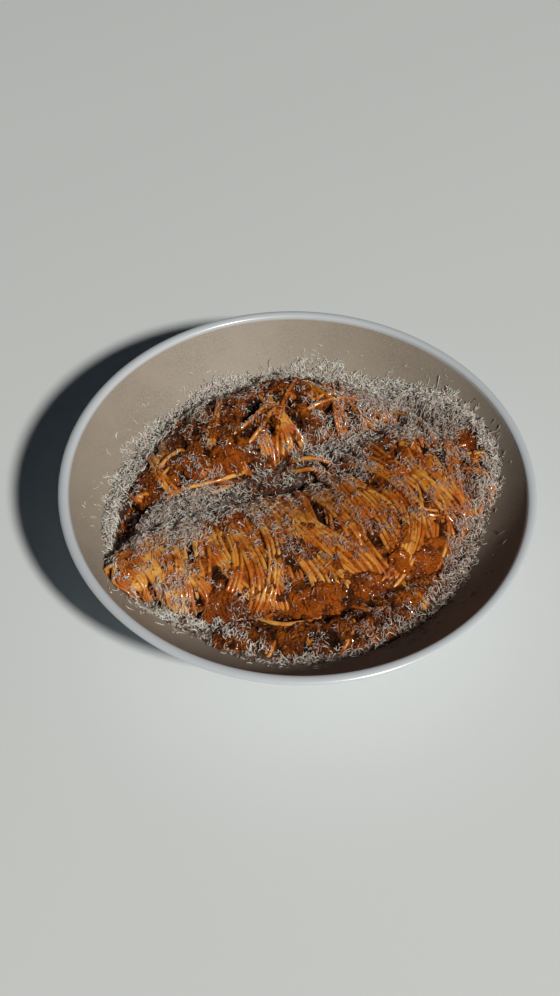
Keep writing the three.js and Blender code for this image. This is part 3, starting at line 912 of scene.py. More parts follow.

# %% [markdown]
# ## Stray strands
# A few strands have slipped off the twirls: a loop that stands in the trough, a long one along the
# back nest's foot and some ends that hang over the sides. No rule would put them where they are, so
# each is drawn through four to six listed places, and the same tree sweeps them. The end of the
# front roll shows the turns of its twirl, as open loops round one place.

# %% Stray strands
STRAYS = [
    [(-4, 27, 29), (-1, 24, 36), (7, 23, 39), (15, 22, 37), (19, 19, 31)],
    [(-6, 22, 28), (0, 19, 34), (8, 18, 36.5), (15, 17, 34), (18, 14, 29)],
    [(-64, 0, 33), (-54, 4, 36.5), (-44, 7, 37), (-34, 11, 37), (-24, 18, 34)],
    [(-60, -4, 32), (-50, 0, 35), (-40, 3, 35.5), (-31, 9, 34)],
    [(-68, 2, 33), (-66, 9, 37), (-61, 15, 39), (-54, 18, 40), (-50, 24, 41)],
    [(-70, 6, 33), (-68, 13, 36.5), (-63, 20, 39.5), (-57, 25, 40)],
    [(-46, 44, 36), (-42, 40, 41), (-36, 37, 43.5), (-29, 38, 44), (-22, 42, 45)],
    [(-32, 33, 43), (-26, 38, 45.5), (-21, 44, 46), (-17, 52, 44), (-15, 60, 38)],
    [(-24, 30, 41), (-19, 36, 44.5), (-15, 44, 45.5), (-11, 52, 44), (-9, 60, 40)],
    [(2, 50, 42), (9, 54, 44), (18, 58, 44), (27, 60, 42), (34, 58, 38)],
    [(6, 57, 43), (14, 61, 43.5), (23, 62, 42), (31, 60, 39)],
    [(44, 56, 38), (51, 52, 41), (58, 46, 43.5), (63, 38, 44.5), (67, 28, 43)],
    [(56, 8, 44), (60, 0, 45.5), (66, -8, 44), (73, -14, 39), (78, -17, 34)],
    [(60, 16, 44), (66, 6, 45), (72, -2, 42.5), (78, -8, 38)],
    [(64, 24, 43.5), (70, 12, 44), (76, 2, 41), (80, -6, 36)],
    [(-20, -63, 30), (-14, -68, 33.5), (-6, -71, 35.3), (2, -70, 35.2), (9, -66, 32), (13, -62, 30)],
    [(23, -56, 31), (29, -61, 34.5), (36, -62, 35.6), (42, -59, 35), (48, -53, 32)],
]
EYE_PLACE = (0.065, 60.0)
EYE_LOOPS = (1.6, 3.5, 5.4, 7.3)
# What a millimetre of a loop's radius is along the roll, and in degrees round it.
EYE_ALONG = 1.15 / WINDING["front_roll"]["length"]
EYE_AROUND = 3.6


def eye_loop(radius):
    """An open loop round the twirled end of the front roll, lying on its face."""
    angle = np.radians(np.linspace(-40, 265 + 12 * radius, STRAND_POINTS))
    along = EYE_PLACE[0] + radius * EYE_ALONG * np.cos(angle)
    around = EYE_PLACE[1] + radius * EYE_AROUND * np.sin(angle)
    lift = np.full(STRAND_POINTS, 2.3 - 0.1 * radius)
    return on_heap("front_roll", np.clip(along, 0.006, 1), around, lift)


def make_strays():
    random = np.random.default_rng(21)
    steps = np.linspace(0, 1, STRAND_POINTS)
    lines = np.stack([smooth_line(points, steps) for points in STRAYS] + [eye_loop(r) for r in EYE_LOOPS])
    thickness = STRAND_RADIUS * random.uniform(0.95, 1.12, len(lines))[:, None]
    tone = random.uniform(0.0, 0.5, len(lines))[:, None]
    return swept("stray_strands", lines, thickness, tone, strand_material)


strays = make_strays()

# %% [markdown]
# ## Sauce on the heaps: where it clings
# Coarse meat sauce clings to the pasta in thick patches, and lies low between them. Random bumps
# could place the patches, but those that show are named here, by their place and reach on a heap.

# %% Sauce patches
# Patches: along, around, reach along, reach around, height in millimetres over the bare level.
SAUCE_PATCHES = {
    "front_roll": [
        (0.50, 24, 0.08, 24, 6.0), (0.59, 26, 0.06, 24, 6.0), (0.70, 22, 0.07, 24, 6.2),
        (0.50, 73, 0.06, 8, 3.6),
        (0.31, 20, 0.05, 30, 4.4), (0.40, 8, 0.06, 20, 3.4), (0.47, 84, 0.045, 15, 4.2),
        (0.34, 126, 0.045, 28, 4.4), (0.86, 126, 0.10, 28, 4.4), (0.80, 102, 0.05, 15, 3.8),
        (0.64, 138, 0.06, 14, 3.0), (0.22, 118, 0.08, 20, 2.4), (0.96, 70, 0.04, 60, 3.0),
        (0.66, 96, 0.02, 22, 2.6), (0.43, 52, 0.015, 20, 2.2),
        (0.18, 88, 0.03, 16, 1.8), (0.74, 62, 0.03, 10, 2.4),
    ],
    "back_nest": [
        (0.20, 80, 0.10, 50, 4.0), (0.32, 60, 0.08, 40, 3.6), (0.30, 130, 0.12, 40, 3.8),
        (0.62, 75, 0.06, 60, 3.8), (0.86, 90, 0.09, 70, 3.6), (0.50, 14, 0.3, 24, 3.6),
        (0.06, 90, 0.06, 90, 3.8), (0.52, 120, 0.16, 24, 3.2), (0.37, 90, 0.03, 20, 2.4),
        (0.25, 175, 0.2, 25, 4.5), (0.60, 175, 0.2, 25, 4.5),
    ],
    "front_tangle": [
        (0.10, 80, 0.14, 90, 5.6), (0.36, 74, 0.14, 80, 5.4), (0.62, 80, 0.14, 80, 5.4),
        (0.88, 90, 0.14, 90, 5.6),
    ],
    "right_tangle": [(0.70, 100, 0.2, 70, 3.8), (0.25, 90, 0.15, 70, 3.6), (1.0, 90, 0.1, 90, 4.0)],
}
# Pools of oil: along, around, reach along, reach around.
OIL_POOLS = {
    "front_roll": [(0.70, 24, 0.05, 22), (0.80, 96, 0.04, 16), (0.745, 60, 0.03, 12), (0.30, 40, 0.03, 14)],
}
# Sauce over the slump level keeps a quarter of its height. The bare level is where there is hardly any.
SLUMP_LEVEL = 2.6
BARE_LEVEL = -2.0
SAUCE_GRID = {
    "front_roll": (370, 268), "back_nest": (300, 190), "front_tangle": (220, 84),
    "right_tangle": (130, 76),
}
print("patches of sauce:", {heap: len(patches) for heap, patches in SAUCE_PATCHES.items()})

# %% [markdown]
# ## Measuring by rays
# The sauce has to know how high the strands stand, and the chorizo and the cheese what they lie on.
# A Shrinkwrap modifier could pull a mesh down on them, but rays give plain numbers to reckon with. A
# grid of such heights is bridged by two passes of a filter, the highest value near each place and
# then the lowest of those, which fills narrow gaps and leaves wide ones open.

# %% Rays and bridges
RAY_START = 8.0
RAY_END = -3.0
DROP_HEIGHT = 200.0


def ray_tree(things):
    """A search tree over several meshes, for dropping things on to them from above."""
    work = bmesh.new()
    for thing in things:
        work.from_mesh(thing.data)
    tree = BVHTree.FromBMesh(work)
    work.free()
    return tree


def height_under(tree, x, y):
    hit = tree.ray_cast(Vector((x, y, DROP_HEIGHT)) * MM, Vector((0, 0, -1)))[0]
    return hit.z / MM if hit else 0.0


def widened(grid, reach, pick):
    """Each value of a grid replaced by the highest, or the lowest, of those around it."""
    result = grid
    for i, j in product(range(-reach, reach + 1), repeat=2):
        result = pick(result, np.roll(grid, (i, j), (0, 1)))
    return result


def bridged(grid, reach):
    """A grid of heights with its narrow gaps filled level with their sides."""
    return widened(widened(grid, reach, np.maximum), reach, np.minimum)


def strand_tops(heap, along, around):
    """How high the strands stand over a heap's core, at places on its upper side."""
    outer = on_heap(heap, along, around, RAY_START) * MM
    length = (RAY_START - RAY_END) * MM
    inward = (on_heap(heap, along, around, RAY_END) * MM - outer) / length
    tops = np.full(len(along), RAY_END)
    for i in np.flatnonzero((around > -45) & (around < 225)):
        distance = strand_tree.ray_cast(Vector(outer[i]), Vector(inward[i]), length)[3]
        if distance is not None:
            tops[i] = RAY_START - distance / MM
    return tops


strand_tree = ray_tree([*strands.values(), strays])


# %% [markdown]
# ## Sauce bodies
# The oil of the sauce glues neighbouring strands together. So the body of sauce on a heap follows
# the named patches, has random bumps of several sizes, and is raised almost to the strands' tops
# between close neighbours. A fluid could do the same at far greater cost. The body is a grid bent
# round the heap, and its ends are closed by merging.

# %% Sauce bodies
GLAZE_SINK = 0.65
GLAZE_REACH = 2


def sauce_lift(heap, along, around, plain):
    """Height of the sauce over a heap's core at places on it, and its tone: 1 where it is oily glaze."""
    lift = np.full(len(plain), BARE_LEVEL)
    for *patch, height in SAUCE_PATCHES[heap]:
        lift += (height + 0.8) * hill(along, around, *patch)
    lift += relief(plain, (1.3, 11, 1), (1.4, 5, 2))
    lift = np.minimum(lift, SLUMP_LEVEL + 0.25 * (lift - SLUMP_LEVEL))
    lift -= 2.4 * smooth_step(0.35, 0.8, bumps(plain, 5.5, 17))
    lift += relief(plain, (0.9, 2.4, 3), (0.6, 1.2, 4))
    tops = strand_tops(heap, along, around).reshape(SAUCE_GRID[heap][0] + 1, -1)
    clot = smooth_step(0.5, 0.9, relief(plain, (1, 6, 15), (0.6, 2.5, 16)))
    glaze = bridged(tops, GLAZE_REACH).ravel() - GLAZE_SINK + 0.2 * bumps(plain, 1.6, 5) + 1.5 * clot
    oily = smooth_step(-0.4, 0.3, glaze - lift) * (0.75 + 0.5 * bumps(plain, 5, 9)) * (1 - 0.8 * clot)
    for pool in OIL_POOLS.get(heap, []):
        oily += 1.1 * hill(along, around, *pool)
    return np.maximum(lift, glaze), 0.12 + oily


def make_body(heap, name, grid, lift_of, material, clearance):
    """A heap's body: a grid bent round its line, lifted by a function that gives lift and tone. Its
    hollows are marked too, by how far they lie under what surrounds them, for a painted shade there."""
    along_steps, round_steps = grid
    even = np.linspace(0, 1, along_steps + 1)
    along = 0.5 * even + 0.5 * (0.5 - 0.5 * np.cos(math.pi * even))
    around = np.linspace(-90, 270, round_steps, endpoint=False)
    t, a = (values.ravel() for values in np.meshgrid(along, around, indexing="ij"))
    plain = on_heap(heap, t, a, 0.0)
    ends = np.sin(math.pi * np.repeat(even, round_steps)) ** 0.5
    lift, tone = lift_of(heap, t, a, plain)
    points = kept_inside(on_heap(heap, t, a, lift * ends), clearance)
    faces = []
    for i, j in product(range(along_steps), range(round_steps)):
        row, following = i * round_steps, (i + 1) * round_steps
        beside = (j + 1) % round_steps
        faces.append((row + j, row + beside, following + beside, following + j))
    body = mesh_object(name, points, faces)
    rows = lift.reshape(along_steps + 1, round_steps)
    mark(body, "tone", np.clip(tone, 0, 1))
    # Painted shade: the deeper a point lies in a hollow, the darker it is painted.
    mark(body, "hollow", smooth_step(0.12, 1.2, (bridged(rows, 4) - rows).ravel()))
    outward(body)
    body.data.materials.append(material)
    tell(body)
    return body


sauce_bodies = {
    heap: make_body(heap, f"{heap}_sauce", SAUCE_GRID[heap], sauce_lift, sauce_material, 0.3)
    for heap in PASTA_HEAPS
}

# %% [markdown]
# ## Sauce bed
# Under and between the heaps lies the same sauce, seen from above as a rough field. A square grid
# could be cut to the bowl, but a disc of fine rings has the right outline from the start. Its top is
# rippled, with a hump where the heaps would leave a hole, and its underside follows the bowl.

# %% Sauce bed
BED_TOP = 26.0
BED_REACH = 83.0
BED_RINGS = 110
BED_SEGMENTS = 260
BED_GAP = 0.3
BED_EDGE = 0.1
# Where the heaps leave a hole between them the bed is humped: x, y, reach, height.
BED_HUMPS = [(57, 52, 7, 8.5)]


def make_sauce_bed():
    radii = BED_REACH * np.linspace(0, 1, BED_RINGS + 1)[1:]
    angles = np.linspace(0, 2 * math.pi, BED_SEGMENTS, endpoint=False)
    r, a = (values.ravel() for values in np.meshgrid(radii, angles, indexing="ij"))
    flat = np.stack([r * np.cos(a), r * np.sin(a), np.zeros(len(r))], 1)
    top = BED_TOP + relief(flat, (1.2, 12, 5), (0.8, 5, 6), (0.4, 2, 7))
    for x, y, reach, height in BED_HUMPS:
        top += height * hill(flat[:, 0], flat[:, 1], x, y, reach, reach)
    under = flat.copy()
    under[:, 2] = inside_height(np.minimum(r, RIM_INNER)) + BED_GAP
    lowest = under[:, 2] + BED_EDGE
    fade = smooth_step(BED_REACH, BED_REACH - 6, r)
    flat[:, 2] = lowest + np.maximum(top - lowest, 0.5) * fade
    points = np.vstack([flat, under, (0, 0, BED_TOP), (0, 0, BOWL_FLOOR + BED_GAP)])
    layer = len(flat)
    faces = []
    for side in (0, layer):
        middle = 2 * layer + (1 if side else 0)
        for j in range(BED_SEGMENTS):
            beside = (j + 1) % BED_SEGMENTS
            faces.append((middle, side + j, side + beside))
            for i in range(BED_RINGS - 1):
                row, following = side + i * BED_SEGMENTS, side + (i + 1) * BED_SEGMENTS
                faces.append((row + j, following + j, following + beside, row + beside))
    edge = (BED_RINGS - 1) * BED_SEGMENTS
    for j in range(BED_SEGMENTS):
        beside = (j + 1) % BED_SEGMENTS
        faces.append((edge + j, layer + edge + j, layer + edge + beside, edge + beside))
    bed = outward(mesh_object("sauce_bed_body", points, faces))
    bed.data.materials.append(sauce_material)
    tell(bed)
    return bed


sauce_bed = make_sauce_bed()

# %% [markdown]
# ## Chorizo
# The slices and lumps of chorizo lie on the heaps, sunk into the strands and coated in sauce. They
# could be sculpted one by one, but a sphere pushed towards a block is a good start: one number makes
# it rounder or squarer. Bumps of three sizes make its face uneven, and every piece is set by the same
# depth into what lies under its middle.

# %% Chorizo
# Columns: x, y, half-length, half-width, half-thickness, lean, turn, squareness, tone.
CHORIZO = {
    "slice_front_left": (-32, -62, 9, 8.5, 5, 48, -12, 4, 0.45),
    "lump_roll_top": (-31, -20, 8.5, 8, 5, -8, 20, 2.6, 0.2),
    "lump_back_left": (-50, 17, 6.5, 8.5, 6, 30, 15, 2.6, 0.6),
    "lump_back_right": (-34, 20, 9, 8.5, 6.5, 34, -12, 2.6, 0.7),
    "slice_right": (59, -33, 7.5, 7.5, 4, 40, 28, 3, 0.6),
    "lump_right": (46, -38, 6.5, 6.5, 5, 34, 20, 2.6, 1.0),
    "piece_left": (-80, -17, 7, 5, 4, 8, -10, 4, 1.0),
    "slice_upper_right": (54, 20, 6, 8, 3.6, 6, 60, 3.2, 0.9),
    "lump_upper_right": (44, 32, 7, 5.5, 3.5, -8, 50, 2.6, 0.4),
    "lump_far_right": (85, 34, 7, 6, 4.5, -4, 70, 2.8, 0.3),
    "slice_front": (9, -58, 13, 8, 4.5, 50, 6, 3.2, 0.8),
    "lump_front_right": (33, -50, 8, 7, 4.5, 44, 20, 2.8, 0.45),
}
CHORIZO_SINK = 3.4
LUMP_SEGMENTS = 96
LUMP_RINGS = 56


def unit_ball(segments, rings):
    """Points and faces of a ball with a point at each pole."""
    polar = np.pi * np.arange(1, rings) / rings
    turn = 2 * np.pi * np.arange(segments) / segments
    p, a = (grid.ravel() for grid in np.meshgrid(polar, turn, indexing="ij"))
    points = np.stack([np.sin(p) * np.cos(a), np.sin(p) * np.sin(a), np.cos(p)], 1)
    points = np.vstack([points, (0, 0, 1), (0, 0, -1)])
    top, bottom = len(points) - 2, len(points) - 1
    last = (rings - 2) * segments
    faces = []
    for j in range(segments):
        beside = (j + 1) % segments
        faces.append((top, j, beside))
        faces.append((bottom, last + beside, last + j))
        for i in range(rings - 2):
            row, following = i * segments, (i + 1) * segments
            faces.append((row + j, following + j, following + beside, row + beside))
    return points, faces


def make_chorizo(name, ground_tree):
    x, y, length, width, thickness, lean, turn, squareness, tone = CHORIZO[name]
    ball, faces = unit_ball(LUMP_SEGMENTS, LUMP_RINGS)
    size = (np.abs(ball) ** squareness).sum(axis=1) ** (-1 / squareness)
    points = ball * size[:, None] * (length, width, thickness)
    swell = relief(points + (x, y, 0), (2.0, 7, 8), (1.3, 3, 9), (0.7, 1.4, 10)) - 0.5
    points += ball * swell[:, None]
    turned = Matrix.Rotation(math.radians(turn), 3, "Z")
    leaned = Matrix.Rotation(math.radians(lean), 3, "X")
    height = height_under(ground_tree, x, y) - CHORIZO_SINK
    points = points @ np.array(turned @ leaned).T + (x, y, height)
    piece = outward(mesh_object(f"chorizo_{name}_meat", kept_inside(points, 0.4), faces))
    mark(piece, "tone", np.clip(tone + 0.5 * bumps(vertex_places(piece), 5, 12), 0, 1))
    piece.data.materials.append(chorizo_material)
    return piece


core_tree = ray_tree([*sauce_bodies.values(), *strands.values(), sauce_bed, bowl])
chorizo = {name: make_chorizo(name, core_tree) for name in CHORIZO}
print("chorizo pieces:", len(chorizo))

# %% [markdown]
# ## Cheese drifts
# Where much cheese has fallen it lies as a drift, deeper than its curls: round the pasta and in the
# trough. A drift is a low body with a rough relief, made like the sauce bodies, and loose curls are
# dropped on it afterwards. That gives its depth without the weight of curls that nobody sees.

# %% Cheese drifts
DRIFT_GRID = {"cheese_ring": (900, 60), "cheese_trough": (260, 90)}
SUNK_IN_WALL = -0.5
# Per drift, along it: its level over the plain form, and how dark its tone is, from sauce stain and
# a painted shade at the ring's front and right and in the middle of the trough.
DRIFT_LEVELS = {
    "cheese_ring": ([(0, -1.0), (0.12, -2.0), (0.2, -3.5), (0.31, -3.5), (0.36, -2.2), (0.4, -3.5),
                     (0.55, -2.6), (0.7, -1.5), (1, -1.5)],
                    [(0, 0.25), (0.2, 0.7), (0.35, 0.5), (0.5, 0.15), (0.6, 0.2), (0.75, 0.15), (1, 0.3)]),
    "cheese_trough": ([(0, 0.0), (0.3, 0.0), (0.5, -1.0), (1, -0.8)],
                      [(0, 0.15), (0.25, 0.4), (0.42, 0.95), (0.7, 0.85), (0.85, 0.3), (1, 0.05)]),
}


def drift_lift(heap, along, around, plain):
    """Rough relief of a drift: lumps of a few millimetres, and the grain of single curls. Its tone also
    holds a painted shade in the low grain and, in the trough, beside the front roll.
    """
    level, stain = DRIFT_LEVELS[heap]
    grain = relief(plain, (0.7, 1.4, 82), (0.4, 0.8, 83))
    lift = np.interp(along, *zip(*level)) + relief(plain, (1.3, 7, 80), (0.9, 3, 81)) + grain
    # Painted shade: the low grain gets a darker tone.
    tone = np.interp(along, *zip(*stain)) + 0.4 * bumps(plain, 5, 84) - 0.2 * grain
    if heap == "cheese_ring":
        inner = smooth_step(95, 150, around)
        bank = np.exp(-((along - 0.57) / 0.05) ** 2)
        return lift + (2.5 + 4.0 * bank) * inner, tone + (0.9 - 0.8 * bank) * inner
    beside_roll = np.exp(-((around - 25) / 35) ** 2)
    beside_nest = np.exp(-((around - 160) / 35) ** 2)
    # Painted shade: the trough's tone is darker beside the front roll, which shades it.
    return lift + 4.0 * beside_roll + 2.5 * beside_nest, tone + 0.2 * beside_roll


drifts = {
    heap: make_body(heap, f"{heap}_drift", DRIFT_GRID[heap], drift_lift, drift_material, SUNK_IN_WALL)
    for heap in CHEESE_HEAPS
}

# %% [markdown]
# ## Crumbs of meat
# The sauce is full of small crumbs of meat. A particle system could scatter them, but a node tree
# keeps the whole rule in one place: points over the sauce, more where it is thick, and at each point
# one of four crumb shapes with two dozen triangles. The seed is fixed, the instances are made real
# and the result is one plain mesh.

# %% Crumbs
CRUMB_KINDS = 4
# Crumbs for each square metre where the sauce is thickest.
CRUMB_DENSITY = 330000.0


def make_crumb_shapes():
    shapes = bpy.data.collections.new("crumb shapes")
    ball, faces = unit_ball(6, 3)
    for kind in range(CRUMB_KINDS):
        uneven = 1 + 0.35 * bumps(ball * 10, 7, 30 + kind)
        crumb = mesh_object(f"crumb_{kind}", ball * uneven[:, None], faces)
        bpy.context.scene.collection.objects.unlink(crumb)
        shapes.objects.link(crumb)
    return shapes


def make_crumb_tree():
    tree, start, end = start_tree("scattered crumbs", [
        ("Shapes", "NodeSocketCollection", None),
        ("Density", "NodeSocketFloat", CRUMB_DENSITY),
        ("Smallest", "NodeSocketFloat", 0.35),
        ("Largest", "NodeSocketFloat", 0.95),
        ("Seed", "NodeSocketInt", 5),
        ("Material", "NodeSocketMaterial", None),
    ])
    where = add(tree, "GeometryNodeInputNamedAttribute", Name="thick")
    scatter = add(tree, "GeometryNodeDistributePointsOnFaces", distribute_method="RANDOM")
    info = add(tree, "GeometryNodeCollectionInfo")
    info.inputs["Separate Children"].default_value = True
    place = add(tree, "GeometryNodeInstanceOnPoints")
    place.inputs["Pick Instance"].default_value = True
    size = add(tree, "FunctionNodeRandomValue", data_type="FLOAT")
    turn = add(tree, "FunctionNodeRandomValue", data_type="FLOAT_VECTOR")
    turn.inputs["Max"].default_value = (6.28, 6.28, 6.28)
    tone = add(tree, "FunctionNodeRandomValue", data_type="FLOAT")
    store = add(tree, "GeometryNodeStoreNamedAttribute", domain="INSTANCE", Name="tone")
    density = maths(tree, "MULTIPLY", where.outputs["Attribute"], start.outputs["Density"])
    limits = [socket for socket in size.inputs if socket.type == "VALUE" and socket.enabled]
    chain(tree, start, scatter, place, store)
    join(
        tree,
        (density, scatter.inputs["Density"]),
        (start.outputs["Seed"], scatter.inputs["Seed"]),
        (start.outputs["Shapes"], info.inputs["Collection"]),
        (info.outputs["Instances"], place.inputs["Instance"]),
        (start.outputs["Smallest"], limits[0]),
        (start.outputs["Largest"], limits[1]),
        (size.outputs[1], place.inputs["Scale"]),
        (turn.outputs["Value"], place.inputs["Rotation"]),
        (tone.outputs[1], store.inputs["Value"]),
    )
    finish_tree(tree, start, store, end)
    return tree


def mark_thick(thing, share):
    """Marks the upper side of a body by how much sauce clings there, for the crumbs."""
    normals = np.zeros(len(thing.data.vertices) * 3)
    thing.data.vertices.foreach_get("normal", normals)
    upward = smooth_step(-0.1, 0.4, normals.reshape(-1, 3)[:, 2])
    mark(thing, "thick", share * upward * smooth_step(-0.3, 0.4, bumps(vertex_places(thing), 9, 40)))


def crumb_hosts():
    """What the crumbs lie on, each with the share of them that it gets."""
    hosts = [(body, 1.0) for body in sauce_bodies.values()]
    hosts += [(piece, 1.2 - CHORIZO[name][-1]) for name, piece in chorizo.items()]
    hosts += [(body, 0.1) for body in (*strands.values(), strays)]
    return hosts + [(sauce_bed, 0.3), (drifts["cheese_trough"], 0.8)]


def make_crumbs():
    shapes = make_crumb_shapes()
    ground = mesh_object("meat_crumbs", [(0, 0, 0)])
    work = bmesh.new()
    for body, share in crumb_hosts():
        mark_thick(body, share)
        work.from_mesh(body.data)
    work.to_mesh(ground.data)
    work.free()
    run_tree(ground, make_crumb_tree(), Shapes=shapes, Material=crumb_material)
    for shape in list(shapes.objects):
        bpy.data.objects.remove(shape)
    bpy.data.collections.remove(shapes)
    tell(ground)
    return ground


crumbs = make_crumbs()

# %% [markdown]
# ## Grated cheese: where it lies
# Most of the cheese lies in a ring round the pasta and in the trough, and the rest is scattered over
# the pasta in thick and thin places. Weights painted on the food could say so, but a table round the
# ring and a list of places read more plainly. A place for a curl is drawn at random and kept more
# often where the cheese is thick.

# %% Where the cheese lies
# The ring of cheese: angle in degrees, its outer radius, the radius of the pasta, how thick it lies.
EDGES = [
    (0, 94, 84, 1.1), (10, 99, 93, 1.2), (20, 102, 96, 1.4), (30, 102, 95, 1.6), (42, 101, 89, 1.7),
    (55, 94, 82, 1.9), (66, 91, 77, 2.0), (76, 93, 77, 2.0), (87, 93, 77, 2.0), (99, 90, 79, 1.9),
    (110, 89, 80, 1.7), (120, 92, 77, 1.7), (130, 88, 77, 1.6), (149, 88, 77, 1.6), (165, 90, 78, 1.6),
    (178, 91, 84, 1.5), (190, 93, 87, 1.4), (204, 95, 92, 1.4), (215, 97, 96, 1.4), (224, 94, 92, 1.6),
    (232, 87, 81, 1.9), (245, 82, 79, 1.5), (258, 87, 84, 0.7), (270, 90, 85, 0.5), (283, 88, 83, 0.45),
    (296, 87, 82, 0.45), (312, 88, 80, 0.5), (323, 89, 78, 0.6), (335, 88, 76, 0.75), (349, 88, 77, 0.9),
    (360, 94, 84, 1.1),
]
# Thick and thin places over the pasta: x, y, reach, weight.
CHEESE_PATCHES = [
    (62, 56, 16, 1.6), (78, 46, 14, 1.6), (40, 62, 14, 1.2), (-55, -22, 14, 1.5), (-38, -14, 12, 0.7),
    (-72, -32, 10, 0.9), (-20, 12, 14, 0.5), (5, 26, 12, 0.7), (24, 38, 14, 1.0), (-45, 0, 14, 1.5),
    (-52, -62, 11, 1.3), (-30, -70, 9, 0.5), (22, -80, 10, 0.3), (52, -62, 8, 0.2), (86, 10, 12, 0.8),
    (82, -20, 12, 1.3), (30, 76, 14, 1.2), (-62, 30, 10, 0.1), (-8, -24, 8, 0.3), (-31, -20, 8, -0.6),
    (2, -12, 14, -0.3), (20, 12, 12, 0.5),
    (-70, -52, 12, -0.45), (-40, -50, 12, -0.4), (10, -18, 10, -0.35), (62, -2, 14, -0.35),
    (20, -55, 10, -0.3), (55, -30, 12, -0.35), (-18, 44, 10, -0.25), (40, 10, 9, -0.15),
    (85, 34, 8, -1.1), (84, 20, 7, -0.9), (10, -58, 12, -0.6), (32, -50, 9, -0.5),
    (-32, -60, 11, -1.2), (-50, 18, 8, -0.3),
    (-34, 20, 8, -0.2), (58, -34, 11, -1.1), (46, -38, 9, -1.0), (30, -12, 10, -0.2),
    (-10, -78, 12, -0.4), (14, -74, 10, -0.4), (45, -54, 10, -0.5), (-60, -15, 13, 1.6),
    (-58, 22, 16, -0.7), (-66, 8, 9, -0.6), (50, 48, 10, 1.2), (59, 60, 12, 2.0), (-30, 40, 12, -0.2),
]
ON_PASTA = 0.2
STRAY_WEIGHT = 0.03
TROUGH_REACH = 12.0


def ring_at(angle):
    """Outer radius, inner radius and thickness of the ring of cheese at many angles."""
    table = np.array(EDGES, float)
    degrees = np.degrees(angle) % 360
    return [np.interp(degrees, table[:, 0], table[:, k]) for k in (1, 2, 3)]


def cheese_weight(x, y):
    """How thickly the cheese lies at places in plan, and which of the three areas they are in."""
    radius, angle = np.hypot(x, y), np.arctan2(y, x)
    flat = np.stack([x, y, np.zeros(len(x))], 1)
    ragged = relief(flat, (2.5, 7, 50), (1.5, 3, 51))
    outer, inner, thick = ring_at(angle)
    outer, inner = outer + ragged, inner - 1 + ragged
    on_pasta = ON_PASTA + relief(flat, (0.5, 10, 52), (0.8, 4.5, 53), (0.5, 2.2, 55))
    for px, py, reach, weight in CHEESE_PATCHES:
        on_pasta += weight * hill(x, y, px, py, reach, reach)
    ring = thick * smooth_step(outer + 2, outer - 5, radius) * (1 + 0.6 * bumps(flat, 3.5, 54))
    weight = np.where(radius > inner, ring, np.clip(on_pasta, 0.04, 3))
    weight = np.where(radius > outer + 2, STRAY_WEIGHT * smooth_step(12, 0, radius - outer), weight)
    line = smooth_line([place[:2] for place in HEAPS["cheese_trough"]["line"]], np.linspace(0, 1, 60))
    away = np.hypot(x[:, None] - line[:, 0], y[:, None] - line[:, 1]).min(axis=1)
    area = np.where(radius > inner, 0, np.where(away < TROUGH_REACH, 1, 2))
    return weight, area


def draw_places(count, wanted, random):
    """Draws places in one area of the bowl, more where the cheese is thick."""
    found = np.zeros((0, 2))
    while len(found) < count:
        spots = random.uniform(-RIM_INNER, RIM_INNER, (20000, 2))
        spots = spots[np.hypot(spots[:, 0], spots[:, 1]) < RIM_INNER - 2]
        weight, area = cheese_weight(spots[:, 0], spots[:, 1])
        keep = (area == wanted) & (random.uniform(0, 2.2, len(spots)) < weight)
        found = np.vstack([found, spots[keep]])
    return found[:count]


print("curls are drawn over", round(math.pi * RIM_INNER ** 2 / 100), "square centimetres")

# %% [markdown]
# ## Grated cheese: the curls
# Finely grated hard cheese falls as loose curls a few millimetres long. They could be dropped by a
# physics simulation, but a map of heights is enough: rays measure the food once, and a second map
# has its narrow gaps bridged. A curl is bent along the surface, between the two maps, and rides on
# those below it. The curls are swept by the same tree as the strands, with three sides each, because
# there are thousands.

# %% Drop the curls
# Per area: curls, radius, middling length, loft, stain, which in the trough is partly painted shade.
CURLS = {
    "ring": (9900, 0.27, 2.4, 2.4, 0.12),
    "trough": (3800, 0.25, 2.2, 1.4, 0.45),
    "pasta": (8600, 0.24, 1.7, 0.6, 0.5),
}
CURL_POINTS = 4
CURL_SIDES = 3
CURL_SECTION = (1.0, 0.35, 1.0)
CURL_TAPER = (0.6, 1.1, 1.1, 0.6)
# Towards the side where the bowl's wall shades the cheese, whose curls get a darker painted shade.
SHADY_SIDE = (0.766, -0.643)
MAP_STEP = 0.6
MAP_REACH = 108.0
MAP_BRIDGE = 3


def height_map(tree):
    ticks = np.arange(-MAP_REACH, MAP_REACH + MAP_STEP, MAP_STEP)
    return np.array([[height_under(tree, x, y) for y in ticks] for x in ticks])


def read_map(heights, x, y):
    """Heights at places between those of a map."""
    u, v = (np.clip((c + MAP_REACH) / MAP_STEP, 0, len(heights) - 1.001) for c in (x, y))
    i, j = u.astype(int), v.astype(int)
    near = heights[i, j] * (1 + j - v) + heights[i, j + 1] * (v - j)
    far = heights[i + 1, j] * (1 + j - v) + heights[i + 1, j + 1] * (v - j)
    return near * (1 + i - u) + far * (u - i)


